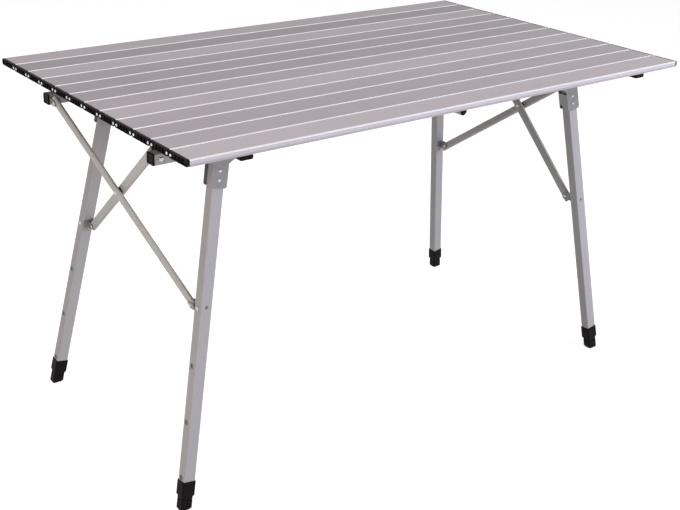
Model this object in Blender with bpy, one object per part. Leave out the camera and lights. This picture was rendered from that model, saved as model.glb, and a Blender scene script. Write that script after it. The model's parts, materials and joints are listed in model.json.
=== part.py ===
"""Folding camp table: a roll-up slatted top on a folding frame with four telescopic legs.

X runs along the slats, the front is -Y, and the floor is z = 0. Everything is in metres.
"""

import math

import bmesh
import bpy
from mathutils import Matrix, Vector

# Overall size
TABLE_LENGTH = 1.170
TABLE_WIDTH = 0.700
TABLE_HEIGHT = 0.695
CLEARANCE = 0.0003
OVERLAP = 0.0002
ROUND_SIDES = 8

# Slats of the top, with their end caps and knuckles
SLAT_COUNT = 12
SLAT_GAP = 0.0012
SLAT_THICKNESS = 0.012
SLAT_WALL = 0.0015
SLAT_RELIEF = 0.0014
CAP_LENGTH = 0.013
CAP_PLUG = 0.001
KNUCKLE_RISE = 0.0044
KNUCKLE_RADIUS = 0.0042
KNUCKLE_PIN_RADIUS = 0.0018
KNUCKLE_THICKNESS = 0.003
KNUCKLE_SETBACK = 0.002
PIN_HOLE_START = 0.001

# Cross supports between the top and the rails
TUBE_SUPPORT_DIAMETER = 0.016
TUBE_SUPPORT_WALL = 0.0012
TUBE_SUPPORT_SETBACK = 0.018
FLAT_SUPPORT_WIDTH = 0.025
FLAT_SUPPORT_THICKNESS = 0.009
FLAT_SUPPORT_SETBACK = 0.005
FLAT_SUPPORT_WALL = 0.0015
FLAT_SUPPORT_INSET = 0.110
PAD_LENGTH = 0.120
PAD_WIDTH = 0.012
PAD_RISE = 0.008
PAD_BITE = 0.0008

# Rails
RAIL_SPACING = 0.396
RAIL_SETBACK = 0.023
RAIL_DEPTH = 0.022
RAIL_HEIGHT = 0.020
RAIL_WALL = 0.0013
RAIL_CAP_THICKNESS = 0.003
RAIL_CAP_PLUG = 0.0035
RAIL_CAP_EDGE = 0.001

# Legs
LEG_SETBACK = 0.1586
LEG_OFFSET = 0.028
LEG_SHIFT = -0.0027
LEG_SPLAY_X = math.radians(10.34)
LEG_SPLAY_Y = math.radians(6.15)
LEG_WIDTH = 0.024
LEG_DEPTH = 0.020
LEG_WALL = 0.0013
INNER_WALL = 0.0012
INNER_OVERLAP = 0.389
COLLAR_LENGTH = 0.0287
COLLAR_COVER = 0.0105
COLLAR_WALL = 0.0012
FOOT_LENGTH = 0.0276
FOOT_SHRINK = 0.0012
FOOT_PLUG = 0.020
FOOT_EDGE_HEIGHT = 0.003
FOOT_EDGE_INSET = 0.0025
BUTTON_RADIUS = 0.0041
BUTTON_HOLE_RADIUS = 0.005
BUTTON_RISE = 0.0015
BUTTON_TO_LEG_END = 0.331
BUTTON_STEP = 0.105
BUTTON_STEPS = 4
FLANGE_RADIUS = 0.006
FLANGE_THICKNESS = 0.0012
ACCESS_HOLE_RADIUS = 0.003

# Brackets that carry the legs
BRACKET_THICKNESS = 0.0016
BRACKET_MARGIN = 0.0045
BRACKET_EYE_RADIUS = 0.009
BRACKET_BEND = 0.034
BRACKET_BEND_LENGTH = 0.006
BRACKET_REACH = 0.0765
BRACKET_CORNER = 0.005
BRACKET_PIN_RADIUS = 0.003
BRACKET_PIN_HEAD_RADIUS = 0.0055
BRACKET_PIN_HEAD_HEIGHT = 0.002
RIVET_RADIUS = 0.0018
RIVET_HEAD_RADIUS = 0.003
RIVET_HEAD_HEIGHT = 0.0015
RIVET_FIRST = 0.0474
RIVET_PITCH = 0.0162

# Braces and the swivelling forks at their ends
BRACE_WIDTH = 0.018
BRACE_THICKNESS = 0.009
BRACE_WALL = 0.0012
BRACE_END = 0.009
BRACE_FOOT_DROP = 0.2877
FORK_ROOM = 0.00027
FORK_PLATE = 0.002
FORK_PLATE_MARGIN = 0.0015
FORK_EAR = 0.0016
FORK_EAR_RADIUS = 0.007
FORK_PIN_RADIUS = 0.002
FORK_PIN_HEAD_RADIUS = 0.0034
FORK_PIN_HEAD_HEIGHT = 0.0012
SWIVEL_SETBACK = 0.012
SWIVEL_RADIUS = 0.0025
SWIVEL_HEAD_RADIUS = 0.0045
SWIVEL_HEAD_HEIGHT = 0.002
CLIP_GAP = 0.0008
SPACER_RADIUS = 0.007
SPACER_THICKNESS = 0.0019

# What follows from the sizes above
SLAT_PITCH = TABLE_WIDTH / SLAT_COUNT
SLAT_HALF = (SLAT_PITCH - SLAT_GAP) / 2
KNUCKLE_DROP = SLAT_THICKNESS - KNUCKLE_RISE
SUPPORT_TOP = TABLE_HEIGHT - SLAT_THICKNESS - CLEARANCE
FLAT_SUPPORT_X = TABLE_LENGTH / 2 - FLAT_SUPPORT_INSET
RAIL_Y = RAIL_SPACING / 2
RAIL_TOP = SUPPORT_TOP - TUBE_SUPPORT_DIAMETER - PAD_RISE - CLEARANCE
RAIL_Z = RAIL_TOP - RAIL_HEIGHT / 2
RAIL_END_X = TABLE_LENGTH / 2 - RAIL_SETBACK
LEG_PIVOT_X = RAIL_END_X - LEG_SETBACK
SWIVEL_X = RAIL_END_X - SWIVEL_SETBACK
BRACE_SPREAD = (BRACE_THICKNESS + SPACER_THICKNESS) / 2 + CLEARANCE
FORK_REACH = math.hypot(BRACE_WIDTH / 2, BRACE_END) + FORK_ROOM + FORK_PLATE + CLEARANCE
INNER_WIDTH = LEG_WIDTH - 2 * (LEG_WALL + CLEARANCE)
INNER_DEPTH = LEG_DEPTH - 2 * (LEG_WALL + CLEARANCE)
LEG_TOP = (
    (RAIL_HEIGHT / 2 + CLEARANCE + math.sin(LEG_SPLAY_X) * (LEG_OFFSET + LEG_WIDTH / 2))
    / math.cos(LEG_SPLAY_X)
    + math.sin(LEG_SPLAY_Y) * LEG_DEPTH / 2
) / math.cos(LEG_SPLAY_Y)
LEG_FLOOR = (RAIL_Z + math.sin(LEG_SPLAY_X) * LEG_OFFSET) / (math.cos(LEG_SPLAY_X) * math.cos(LEG_SPLAY_Y))
COLLAR_END = LEG_FLOOR - FOOT_LENGTH - CLEARANCE
LEG_END = COLLAR_END - COLLAR_LENGTH + COLLAR_COVER
BUTTON_DROP = LEG_END - BUTTON_TO_LEG_END

AXIS_X = Vector((1, 0, 0))
AXIS_Y = Vector((0, 1, 0))
AXIS_Z = Vector((0, 0, 1))
ORIGIN = Vector((0, 0, 0))


def clear_scene():
    for thing in list(bpy.data.objects):
        bpy.data.objects.remove(thing, do_unlink=True)


def material(name, colour, roughness, metallic):
    made = bpy.data.materials.new(name)
    made.use_nodes = True
    shader = made.node_tree.nodes["Principled BSDF"]
    shader.inputs["Base Color"].default_value = (*colour, 1)
    shader.inputs["Roughness"].default_value = roughness
    shader.inputs["Metallic"].default_value = metallic
    return made


def frame_at(origin, x, y, z):
    """A matrix whose local axes are x, y and z, which may be left-handed on a mirrored corner."""
    frame = Matrix((x, y, z)).transposed().to_4x4()
    frame.translation = origin
    return frame


def rectangle(width, height, centre=(0, 0)):
    x, y = centre
    return [
        (x - width / 2, y - height / 2),
        (x + width / 2, y - height / 2),
        (x + width / 2, y + height / 2),
        (x - width / 2, y + height / 2),
    ]


def arc(centre, radius, first, last, steps):
    """Points on an arc between two angles in degrees, both ends included."""
    found = []
    for step in range(steps + 1):
        angle = math.radians(first + (last - first) * step / steps)
        found.append((centre[0] + radius * math.cos(angle), centre[1] + radius * math.sin(angle)))
    return found


def disc(radius, centre=(0, 0), sides=ROUND_SIDES):
    return arc(centre, radius, 0, 360, sides)[:-1]


def stadium(width, height):
    """A flat oval, wider along y, with round ends."""
    radius = width / 2
    straight = height / 2 - radius
    return arc((0, straight), radius, 0, 180, 5) + arc((0, -straight), radius, 180, 360, 5)


def level(outline, height):
    return [Vector((x, y, height)) for x, y in outline]


def add_loft(bm, levels, frame, closed=False):
    """Joins rings of points with side faces. The ends are capped, or joined to each other if closed."""
    rings = [[bm.verts.new(frame @ point) for point in points] for points in levels]
    pairs = list(zip(rings, rings[1:]))
    if closed:
        pairs.append((rings[-1], rings[0]))
    else:
        bm.faces.new(reversed(rings[0]))
        bm.faces.new(rings[-1])
    for low, high in pairs:
        for i in range(len(low)):
            j = (i + 1) % len(low)
            bm.faces.new((low[i], low[j], high[j], high[i]))


def add_prism(bm, outline, low, high, frame):
    add_loft(bm, [level(outline, low), level(outline, high)], frame)


def add_tube(bm, outer, inner, low, high, frame):
    add_loft(bm, [level(outer, low), level(outer, high), level(inner, high), level(inner, low)], frame, True)


def add_turned(bm, profile, frame, sides=ROUND_SIDES):
    """A solid of revolution about the local z axis, from (radius, height) pairs."""
    add_loft(bm, [level(disc(radius, sides=sides), height) for radius, height in profile], frame)


def add_rivet(bm, radius, head_radius, head_height, low, high, frame):
    """A shank with a low dome outside each end. Each dome bites into what it sits on, as a joined solid."""
    crown = head_radius * 0.6
    low += OVERLAP
    high -= OVERLAP
    profile = [
        (crown, low - OVERLAP - head_height),
        (head_radius, low - OVERLAP - head_height * 0.35),
        (head_radius, low),
        (radius, low),
        (radius, high),
        (head_radius, high),
        (head_radius, high + OVERLAP + head_height * 0.35),
        (crown, high + OVERLAP + head_height),
    ]
    add_turned(bm, profile, frame)


def started():
    return bmesh.new()


def mesh_from(bm):
    bmesh.ops.recalc_face_normals(bm, faces=bm.faces)
    mesh = bpy.data.meshes.new("shape")
    bm.to_mesh(mesh)
    bm.free()
    return mesh


def combined(base, steps):
    """The base mesh after each Boolean step, given as (operation, bmesh) pairs."""
    scene = bpy.context.scene.collection
    body = bpy.data.objects.new("body", mesh_from(base))
    scene.objects.link(body)
    tools = []
    for operation, tool_shape in steps:
        tool = bpy.data.objects.new("tool", mesh_from(tool_shape))
        scene.objects.link(tool)
        modifier = body.modifiers.new(operation, "BOOLEAN")
        modifier.operation = operation
        modifier.solver = "EXACT"
        modifier.object = tool
        tools.append(tool)
    graph = bpy.context.evaluated_depsgraph_get()
    result = bpy.data.meshes.new_from_object(body.evaluated_get(graph))
    for thing in [body] + tools:
        bpy.data.objects.remove(thing, do_unlink=True)
    return result


def place(name, finish, origin, mesh, smooth=True):
    """Puts a mesh made in world space into the scene, with its origin on its joint."""
    mesh.transform(Matrix.Translation(-origin))
    return place_shared(name, finish, origin, mesh, smooth)


def place_shared(name, finish, origin, mesh, smooth=True):
    mesh.materials.clear()
    mesh.materials.append(finish)
    if smooth:
        mesh.shade_smooth()
        mesh.set_sharp_from_angle(angle=math.radians(35))
    thing = bpy.data.objects.new(name, mesh)
    thing.location = origin
    bpy.context.scene.collection.objects.link(thing)
    return thing


def corner_name(side_x, side_y):
    return ("front_" if side_y < 0 else "rear_") + ("left" if side_x < 0 else "right")


CORNERS = [(side_x, side_y) for side_y in (-1, 1) for side_x in (-1, 1)]


def slat_profile():
    """The section of one extruded slat, open below, with two ribs. Local x is Y and local y is Z."""
    half = SLAT_HALF
    foot = half - SLAT_RELIEF
    top = -SLAT_WALL
    points = [(-half, 0), (half, 0), (half, -KNUCKLE_DROP), (foot, -SLAT_THICKNESS)]
    points += [(foot - SLAT_WALL, -SLAT_THICKNESS), (half - SLAT_WALL, -KNUCKLE_DROP), (half - SLAT_WALL, top)]
    for centre in (half / 3, -half / 3):
        points += [
            (centre + SLAT_WALL / 2, top),
            (centre + SLAT_WALL / 2, -SLAT_THICKNESS),
            (centre - SLAT_WALL / 2, -SLAT_THICKNESS),
            (centre - SLAT_WALL / 2, top),
        ]
    points += [(SLAT_WALL - half, top), (SLAT_WALL - half, -KNUCKLE_DROP)]
    points += [(SLAT_WALL - foot, -SLAT_THICKNESS), (-foot, -SLAT_THICKNESS), (-half, -KNUCKLE_DROP)]
    return points


def cap_profile():
    half = SLAT_HALF
    foot = half - SLAT_RELIEF
    return [
        (-half, 0),
        (half, 0),
        (half, -KNUCKLE_DROP),
        (foot, -SLAT_THICKNESS),
        (-foot, -SLAT_THICKNESS),
        (-half, -KNUCKLE_DROP),
    ]


def slat_mesh(front_joint, rear_joint):
    """One slat with its caps. Its rear knuckles hold eyes, and its front knuckles hold eyes with pins."""
    cap_start = TABLE_LENGTH / 2 - CAP_LENGTH
    eye_start = cap_start + KNUCKLE_SETBACK
    pin_eye_start = eye_start + KNUCKLE_THICKNESS + 2 * CLEARANCE
    channel = started()
    along = frame_at(ORIGIN, AXIS_Y, AXIS_Z, AXIS_X)
    add_prism(channel, slat_profile(), -cap_start, cap_start, along)
    caps = started()
    pockets = started()
    knuckles = started()
    holes = started()
    for side in (-1, 1):
        end = frame_at(ORIGIN, AXIS_Y, AXIS_Z, AXIS_X * side)
        add_prism(caps, cap_profile(), cap_start - CAP_PLUG, TABLE_LENGTH / 2, end)
        rear = (SLAT_PITCH / 2, -KNUCKLE_DROP)
        front = (-SLAT_PITCH / 2, -KNUCKLE_DROP)
        eye_end = eye_start + KNUCKLE_THICKNESS
        pin_eye_end = pin_eye_start + KNUCKLE_THICKNESS
        if rear_joint:
            room = disc(KNUCKLE_RADIUS + 2 * CLEARANCE, rear)
            add_prism(pockets, room, pin_eye_start - CLEARANCE, pin_eye_end + CLEARANCE, end)
            add_prism(knuckles, disc(KNUCKLE_RADIUS, rear), eye_start, eye_end, end)
            hole = disc(KNUCKLE_PIN_RADIUS + CLEARANCE, rear)
            add_prism(holes, hole, eye_start - PIN_HOLE_START, eye_end + CLEARANCE, end)
        if front_joint:
            room = disc(KNUCKLE_RADIUS + 2 * CLEARANCE, front)
            add_prism(pockets, room, eye_start - CLEARANCE, eye_end + CLEARANCE, end)
            profile = [
                (KNUCKLE_PIN_RADIUS, eye_start + CLEARANCE),
                (KNUCKLE_PIN_RADIUS, pin_eye_start),
                (KNUCKLE_RADIUS, pin_eye_start),
                (KNUCKLE_RADIUS, pin_eye_end),
            ]
            centre = Vector((0, front[0], front[1]))
            add_turned(knuckles, profile, frame_at(centre, AXIS_Y, AXIS_Z, AXIS_X * side))
    steps = [("UNION", caps), ("DIFFERENCE", pockets), ("UNION", knuckles)]
    if rear_joint:
        steps.append(("DIFFERENCE", holes))
    return combined(channel, steps)


def build_top(finish):
    front_mesh = slat_mesh(False, True)
    middle_mesh = slat_mesh(True, True)
    rear_mesh = slat_mesh(True, False)
    for number in range(SLAT_COUNT):
        mesh = middle_mesh
        if number == 0:
            mesh = front_mesh
        if number == SLAT_COUNT - 1:
            mesh = rear_mesh
        centre_y = (number + 0.5) * SLAT_PITCH - TABLE_WIDTH / 2
        place_shared(f"slat_{number + 1:02d}", finish, Vector((0, centre_y, TABLE_HEIGHT)), mesh)


def build_supports(finish):
    """The three cross supports lie on both rails, on long pads along which the rails slide inwards."""
    pad_centre = RAIL_Y + RAIL_DEPTH / 2 - PAD_LENGTH / 2

    def pads_under(x, support_bottom):
        pads = started()
        for side in (-1, 1):
            outline = rectangle(PAD_WIDTH, PAD_LENGTH, (x, side * pad_centre))
            add_prism(pads, outline, RAIL_TOP + CLEARANCE, support_bottom + PAD_BITE, Matrix())
        return pads

    radius = TUBE_SUPPORT_DIAMETER / 2
    centre = Vector((0, 0, SUPPORT_TOP - radius))
    along = frame_at(centre, AXIS_X, -AXIS_Z, AXIS_Y)
    tube = started()
    half = TABLE_WIDTH / 2 - TUBE_SUPPORT_SETBACK
    sides = 2 * ROUND_SIDES
    bore = disc(radius - TUBE_SUPPORT_WALL, sides=sides)
    add_tube(tube, disc(radius, sides=sides), bore, -half, half, along)
    mesh = combined(tube, [("UNION", pads_under(0, centre.z - radius))])
    place("cross_support_middle", finish, centre, mesh)

    for side, name in ((-1, "cross_support_left"), (1, "cross_support_right")):
        centre = Vector((side * FLAT_SUPPORT_X, 0, SUPPORT_TOP - FLAT_SUPPORT_THICKNESS / 2))
        along = frame_at(centre, AXIS_X, -AXIS_Z, AXIS_Y)
        outer = rectangle(FLAT_SUPPORT_WIDTH, FLAT_SUPPORT_THICKNESS)
        wall = 2 * FLAT_SUPPORT_WALL
        inner = rectangle(FLAT_SUPPORT_WIDTH - wall, FLAT_SUPPORT_THICKNESS - wall)
        tube = started()
        half = TABLE_WIDTH / 2 - FLAT_SUPPORT_SETBACK
        add_tube(tube, outer, inner, -half, half, along)
        mesh = combined(tube, [("UNION", pads_under(centre.x, SUPPORT_TOP - FLAT_SUPPORT_THICKNESS))])
        place(name, finish, centre, mesh, smooth=False)


def brace_shift(side_x, side_y):
    """Of the two braces at each end, the one that holds this leg passes further out or further in."""
    return BRACE_SPREAD if side_x * side_y > 0 else -BRACE_SPREAD


def leg_axes(side_x, side_y):
    """Outboard, outward and downward directions of a leg, and the point where its centre line starts."""
    outboard = Vector((side_x * math.cos(LEG_SPLAY_X), 0, math.sin(LEG_SPLAY_X)))
    down = Vector((side_x * math.sin(LEG_SPLAY_X), 0, -math.cos(LEG_SPLAY_X)))
    outward = Vector((0, side_y, 0))
    pivot = Vector((side_x * LEG_PIVOT_X, side_y * RAIL_Y, RAIL_Z))
    start = pivot + outboard * LEG_OFFSET + outward * LEG_SHIFT
    leg_down = down * math.cos(LEG_SPLAY_Y) + outward * math.sin(LEG_SPLAY_Y)
    leg_outward = outward * math.cos(LEG_SPLAY_Y) - down * math.sin(LEG_SPLAY_Y)
    return pivot, start, outboard, leg_outward, leg_down, outward, down


def leg_frame(side_x, side_y):
    _, start, outboard, leg_outward, leg_down, _, _ = leg_axes(side_x, side_y)
    return frame_at(start, outboard, leg_outward, leg_down)


def brace_axes(side_x, side_y):
    """The upper and lower cross pins of the brace that holds this leg, its direction and its pins' axis.

    Both braces at one end turn about the same axis, so that they stay side by side as the frame folds.
    """
    swivel = Vector((side_x * SWIVEL_X, -side_y * (RAIL_Y - RAIL_DEPTH / 2 - FORK_REACH), RAIL_Z))
    reach = LEG_DEPTH / 2 + FORK_REACH - CLEARANCE + CLIP_GAP
    clip = leg_frame(side_x, side_y) @ Vector((0, -reach, BRACE_FOOT_DROP))
    slope = clip - swivel
    slope.y = 0
    across = AXIS_Y.cross(slope).normalized()
    if across.x * side_x < 0:
        across = -across
    shift = across * brace_shift(side_x, side_y)
    upper = swivel + shift
    lower = clip + shift
    return upper, lower, (lower - upper).normalized(), across


def build_rails(finish, cap_finish):
    for side_y in (-1, 1):
        name = "rail_front" if side_y < 0 else "rail_rear"
        centre = Vector((0, side_y * RAIL_Y, RAIL_Z))
        along = frame_at(centre, AXIS_Y, AXIS_Z, AXIS_X)
        tube = started()
        outer = rectangle(RAIL_DEPTH, RAIL_HEIGHT)
        inner = rectangle(RAIL_DEPTH - 2 * RAIL_WALL, RAIL_HEIGHT - 2 * RAIL_WALL)
        add_tube(tube, outer, inner, -RAIL_END_X, RAIL_END_X, along)
        holes = started()
        through = frame_at(centre, AXIS_X, AXIS_Z, -AXIS_Y)
        for side_x in (-1, 1):
            for x, radius in ((LEG_PIVOT_X, BRACKET_PIN_RADIUS), (SWIVEL_X, SWIVEL_RADIUS)):
                hole = disc(radius + CLEARANCE, (side_x * x, 0))
                add_prism(holes, hole, -RAIL_DEPTH, RAIL_DEPTH, through)
        place(name, finish, centre, combined(tube, [("DIFFERENCE", holes)]), smooth=False)
        for side_x in (-1, 1):
            build_rail_cap(side_x, side_y, cap_finish)


def build_rail_cap(side_x, side_y, finish):
    face = Vector((side_x * (RAIL_END_X + CLEARANCE), side_y * RAIL_Y, RAIL_Z))
    out = frame_at(face, AXIS_Y, AXIS_Z, AXIS_X * side_x)
    shrink = 2 * (RAIL_WALL + CLEARANCE)
    plug = rectangle(RAIL_DEPTH - shrink, RAIL_HEIGHT - shrink)
    flange = rectangle(RAIL_DEPTH, RAIL_HEIGHT)
    crown = rectangle(RAIL_DEPTH - 2 * RAIL_CAP_EDGE, RAIL_HEIGHT - 2 * RAIL_CAP_EDGE)
    bm = started()
    levels = [
        level(plug, -RAIL_CAP_PLUG),
        level(plug, 0),
        level(flange, 0),
        level(flange, RAIL_CAP_THICKNESS - RAIL_CAP_EDGE),
        level(crown, RAIL_CAP_THICKNESS),
    ]
    add_loft(bm, levels, out)
    place("rail_cap_" + corner_name(side_x, side_y), finish, face, mesh_from(bm), smooth=False)


def add_bent_ear(bm, side, frame):
    """One cheek of a leg bracket: it runs beside the rail, bends, and runs beside the leg.

    Local x is outboard, y is outward and z is down from the pivot.
    """
    bend = BRACKET_BEND
    settled = BRACKET_BEND + BRACKET_BEND_LENGTH
    near_edge = LEG_OFFSET - LEG_WIDTH / 2 - BRACKET_MARGIN
    far_edge = LEG_OFFSET + LEG_WIDTH / 2 + BRACKET_MARGIN
    slope = math.tan(LEG_SPLAY_Y)
    rail_side = side * (RAIL_DEPTH / 2 + CLEARANCE)
    leg_side = LEG_SHIFT + side * (LEG_DEPTH / 2 / math.cos(LEG_SPLAY_Y) + CLEARANCE)

    def point(x, z):
        y = rail_side if z <= bend else leg_side + slope * z
        return bm.verts.new(Vector((x, y, z)))

    eye = arc((0, 0), BRACKET_EYE_RADIUS, 180, 315, 6)
    bend_near = point(near_edge, bend)
    bend_far = point(far_edge, bend)
    settled_near = point(near_edge, settled)
    settled_far = point(far_edge, settled)
    flare = point(-0.5 * BRACKET_EYE_RADIUS, bend - 0.4 * bend)
    shoulder = point(far_edge, bend - BRACKET_EYE_RADIUS)
    upper = [bend_near, flare] + [point(x, z) for x, z in eye] + [shoulder, bend_far]
    corner = BRACKET_CORNER
    low = BRACKET_REACH - corner
    round_far = arc((far_edge - corner, low), corner, 0, 90, 3)
    round_near = arc((near_edge + corner, low), corner, 90, 180, 3)
    lower = [settled_far] + [point(x, z) for x, z in round_far + round_near] + [settled_near]
    faces = [
        bm.faces.new(upper),
        bm.faces.new([bend_far, settled_far, settled_near, bend_near]),
        bm.faces.new(lower),
    ]
    grown = bmesh.ops.extrude_face_region(bm, geom=faces, use_keep_orig=True)["geom"]
    moved = [item for item in grown if isinstance(item, bmesh.types.BMVert)]
    bmesh.ops.translate(bm, verts=moved, vec=Vector((0, side * BRACKET_THICKNESS, 0)))


def build_bracket(side_x, side_y, finish):
    """Two ears, the web that joins them, the pin in the rail and the rivets in the leg, from the pivot."""
    pivot, start, outboard, leg_outward, leg_down, outward, down = leg_axes(side_x, side_y)
    frame = frame_at(ORIGIN, outboard, outward, down)
    ears = started()
    for side in (-1, 1):
        add_bent_ear(ears, side, frame)
    bmesh.ops.transform(ears, matrix=frame, verts=ears.verts)
    web = started()
    web_x = LEG_OFFSET - LEG_WIDTH / 2 - BRACKET_MARGIN + OVERLAP + BRACKET_THICKNESS / 2
    reach = LEG_DEPTH / 2 / math.cos(LEG_SPLAY_Y) + CLEARANCE + BRACKET_THICKNESS / 2
    slope = math.tan(LEG_SPLAY_Y)
    levels = []
    for drop in (BRACKET_BEND + BRACKET_BEND_LENGTH + OVERLAP, BRACKET_REACH - 2 * BRACKET_CORNER):
        middle = LEG_SHIFT + slope * drop
        outline = rectangle(BRACKET_THICKNESS, 2 * reach, (web_x, middle))
        levels.append(level(outline, drop))
    add_loft(web, levels, frame)
    pins = started()
    half = RAIL_DEPTH / 2 + CLEARANCE + BRACKET_THICKNESS
    through = frame_at(ORIGIN, outboard, -down, outward)
    head = (BRACKET_PIN_HEAD_RADIUS, BRACKET_PIN_HEAD_HEIGHT)
    add_rivet(pins, BRACKET_PIN_RADIUS, *head, -half, half, through)
    leg_through = frame_at(start - pivot, outboard, -leg_down, leg_outward)
    half = LEG_DEPTH / 2 + CLEARANCE + BRACKET_THICKNESS
    for number in range(2):
        centre = leg_through @ Vector((0, -(RIVET_FIRST + number * RIVET_PITCH), 0))
        across = leg_through.copy()
        across.translation = centre
        add_rivet(pins, RIVET_RADIUS, RIVET_HEAD_RADIUS, RIVET_HEAD_HEIGHT, -half, half, across)
    mesh = combined(ears, [("UNION", web), ("UNION", pins)])
    place_shared("leg_bracket_" + corner_name(side_x, side_y), finish, pivot, mesh)


def build_outer_leg(side_x, side_y, finish):
    pivot = leg_axes(side_x, side_y)[0]
    frame = leg_frame(side_x, side_y)
    tube = started()
    outer = rectangle(LEG_WIDTH, LEG_DEPTH)
    inner = rectangle(LEG_WIDTH - 2 * LEG_WALL, LEG_DEPTH - 2 * LEG_WALL)
    add_tube(tube, outer, inner, LEG_TOP, LEG_END, frame)
    holes = started()
    facing = frame @ frame_at(Vector((LEG_WIDTH / 2, 0, 0)), AXIS_Z, AXIS_Y, -AXIS_X)
    for step in range(BUTTON_STEPS):
        drop = BUTTON_DROP + step * BUTTON_STEP
        add_prism(holes, disc(BUTTON_HOLE_RADIUS, (drop, 0)), -LEG_WALL, 2 * LEG_WALL, facing)
    beside = frame @ frame_at(ORIGIN, AXIS_X, AXIS_Z, AXIS_Y)
    for number in range(2):
        rivet = disc(RIVET_RADIUS + CLEARANCE, (0, RIVET_FIRST + number * RIVET_PITCH))
        add_prism(holes, rivet, -LEG_DEPTH, LEG_DEPTH, beside)
    access = disc(ACCESS_HOLE_RADIUS, (0, BRACE_FOOT_DROP))
    add_prism(holes, access, LEG_DEPTH / 4, LEG_DEPTH, beside)
    mesh = combined(tube, [("DIFFERENCE", holes)])
    place("leg_outer_" + corner_name(side_x, side_y), finish, pivot, mesh, smooth=False)


def build_collar(side_x, side_y, finish):
    frame = leg_frame(side_x, side_y)
    gap = 2 * CLEARANCE
    outside = rectangle(LEG_WIDTH + gap + 2 * COLLAR_WALL, LEG_DEPTH + gap + 2 * COLLAR_WALL)
    around_leg = rectangle(LEG_WIDTH + gap, LEG_DEPTH + gap)
    around_inner = rectangle(INNER_WIDTH + gap, INNER_DEPTH + gap)
    ledge = LEG_END + CLEARANCE
    levels = [
        level(outside, LEG_END - COLLAR_COVER),
        level(outside, COLLAR_END),
        level(around_inner, COLLAR_END),
        level(around_inner, ledge),
        level(around_leg, ledge),
        level(around_leg, LEG_END - COLLAR_COVER),
    ]
    bm = started()
    add_loft(bm, levels, frame, closed=True)
    origin = frame @ Vector((0, 0, LEG_END))
    place("leg_collar_" + corner_name(side_x, side_y), finish, origin, mesh_from(bm), smooth=False)


def build_inner_leg(side_x, side_y, finish):
    frame = leg_frame(side_x, side_y)
    outer = rectangle(INNER_WIDTH, INNER_DEPTH)
    inner = rectangle(INNER_WIDTH - 2 * INNER_WALL, INNER_DEPTH - 2 * INNER_WALL)
    tube = started()
    add_tube(tube, outer, inner, LEG_END - INNER_OVERLAP, COLLAR_END, frame)
    hole = started()
    facing = frame @ frame_at(Vector((INNER_WIDTH / 2, 0, BUTTON_DROP)), AXIS_Z, AXIS_Y, -AXIS_X)
    add_prism(hole, disc(BUTTON_RADIUS + CLEARANCE), -INNER_WALL, 2 * INNER_WALL, facing)
    mesh = combined(tube, [("DIFFERENCE", hole)])
    origin = frame @ Vector((0, 0, LEG_END))
    place("leg_inner_" + corner_name(side_x, side_y), finish, origin, mesh, smooth=False)


def build_button(side_x, side_y, finish):
    """A domed button on a small flange, pressed out from inside the inner leg."""
    frame = leg_frame(side_x, side_y)
    seat = INNER_WIDTH / 2 - INNER_WALL - CLEARANCE
    facing = frame @ frame_at(Vector((0, 0, BUTTON_DROP)), AXIS_Z, AXIS_Y, AXIS_X)
    top = LEG_WIDTH / 2 + BUTTON_RISE
    profile = [
        (FLANGE_RADIUS, seat - FLANGE_THICKNESS),
        (FLANGE_RADIUS, seat),
        (BUTTON_RADIUS, seat),
        (BUTTON_RADIUS, top - 0.6 * BUTTON_RISE),
        (0.75 * BUTTON_RADIUS, top - 0.2 * BUTTON_RISE),
        (0.4 * BUTTON_RADIUS, top),
    ]
    bm = started()
    add_turned(bm, profile, facing)
    origin = frame @ Vector((seat, 0, BUTTON_DROP))
    place("snap_button_" + corner_name(side_x, side_y), finish, origin, mesh_from(bm))


def build_foot(side_x, side_y, finish):
    """A block under the inner leg, plugged into it and cut level with the floor."""
    frame = leg_frame(side_x, side_y)
    shrink = 2 * (INNER_WALL + CLEARANCE)
    plug = rectangle(INNER_WIDTH - shrink, INNER_DEPTH - shrink)
    block = rectangle(LEG_WIDTH - FOOT_SHRINK, LEG_DEPTH - FOOT_SHRINK)
    top = COLLAR_END + CLEARANCE
    to_floor = frame.to_3x3() @ AXIS_Z

    def floor_point(x, y, height):
        corner = frame @ Vector((x, y, 0))
        return Vector((x, y, (height - corner.z) / to_floor.z))

    shrink = FOOT_SHRINK + 2 * FOOT_EDGE_INSET
    tread = rectangle(LEG_WIDTH - shrink, LEG_DEPTH - shrink)
    levels = [
        level(plug, COLLAR_END - FOOT_PLUG),
        level(plug, top),
        level(block, top),
        [floor_point(x, y, FOOT_EDGE_HEIGHT) for x, y in block],
        [floor_point(x, y, 0) for x, y in tread],
    ]
    bm = started()
    add_loft(bm, levels, frame)
    origin = frame @ Vector((0, 0, top))
    place("foot_" + corner_name(side_x, side_y), finish, origin, mesh_from(bm), smooth=False)


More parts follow.
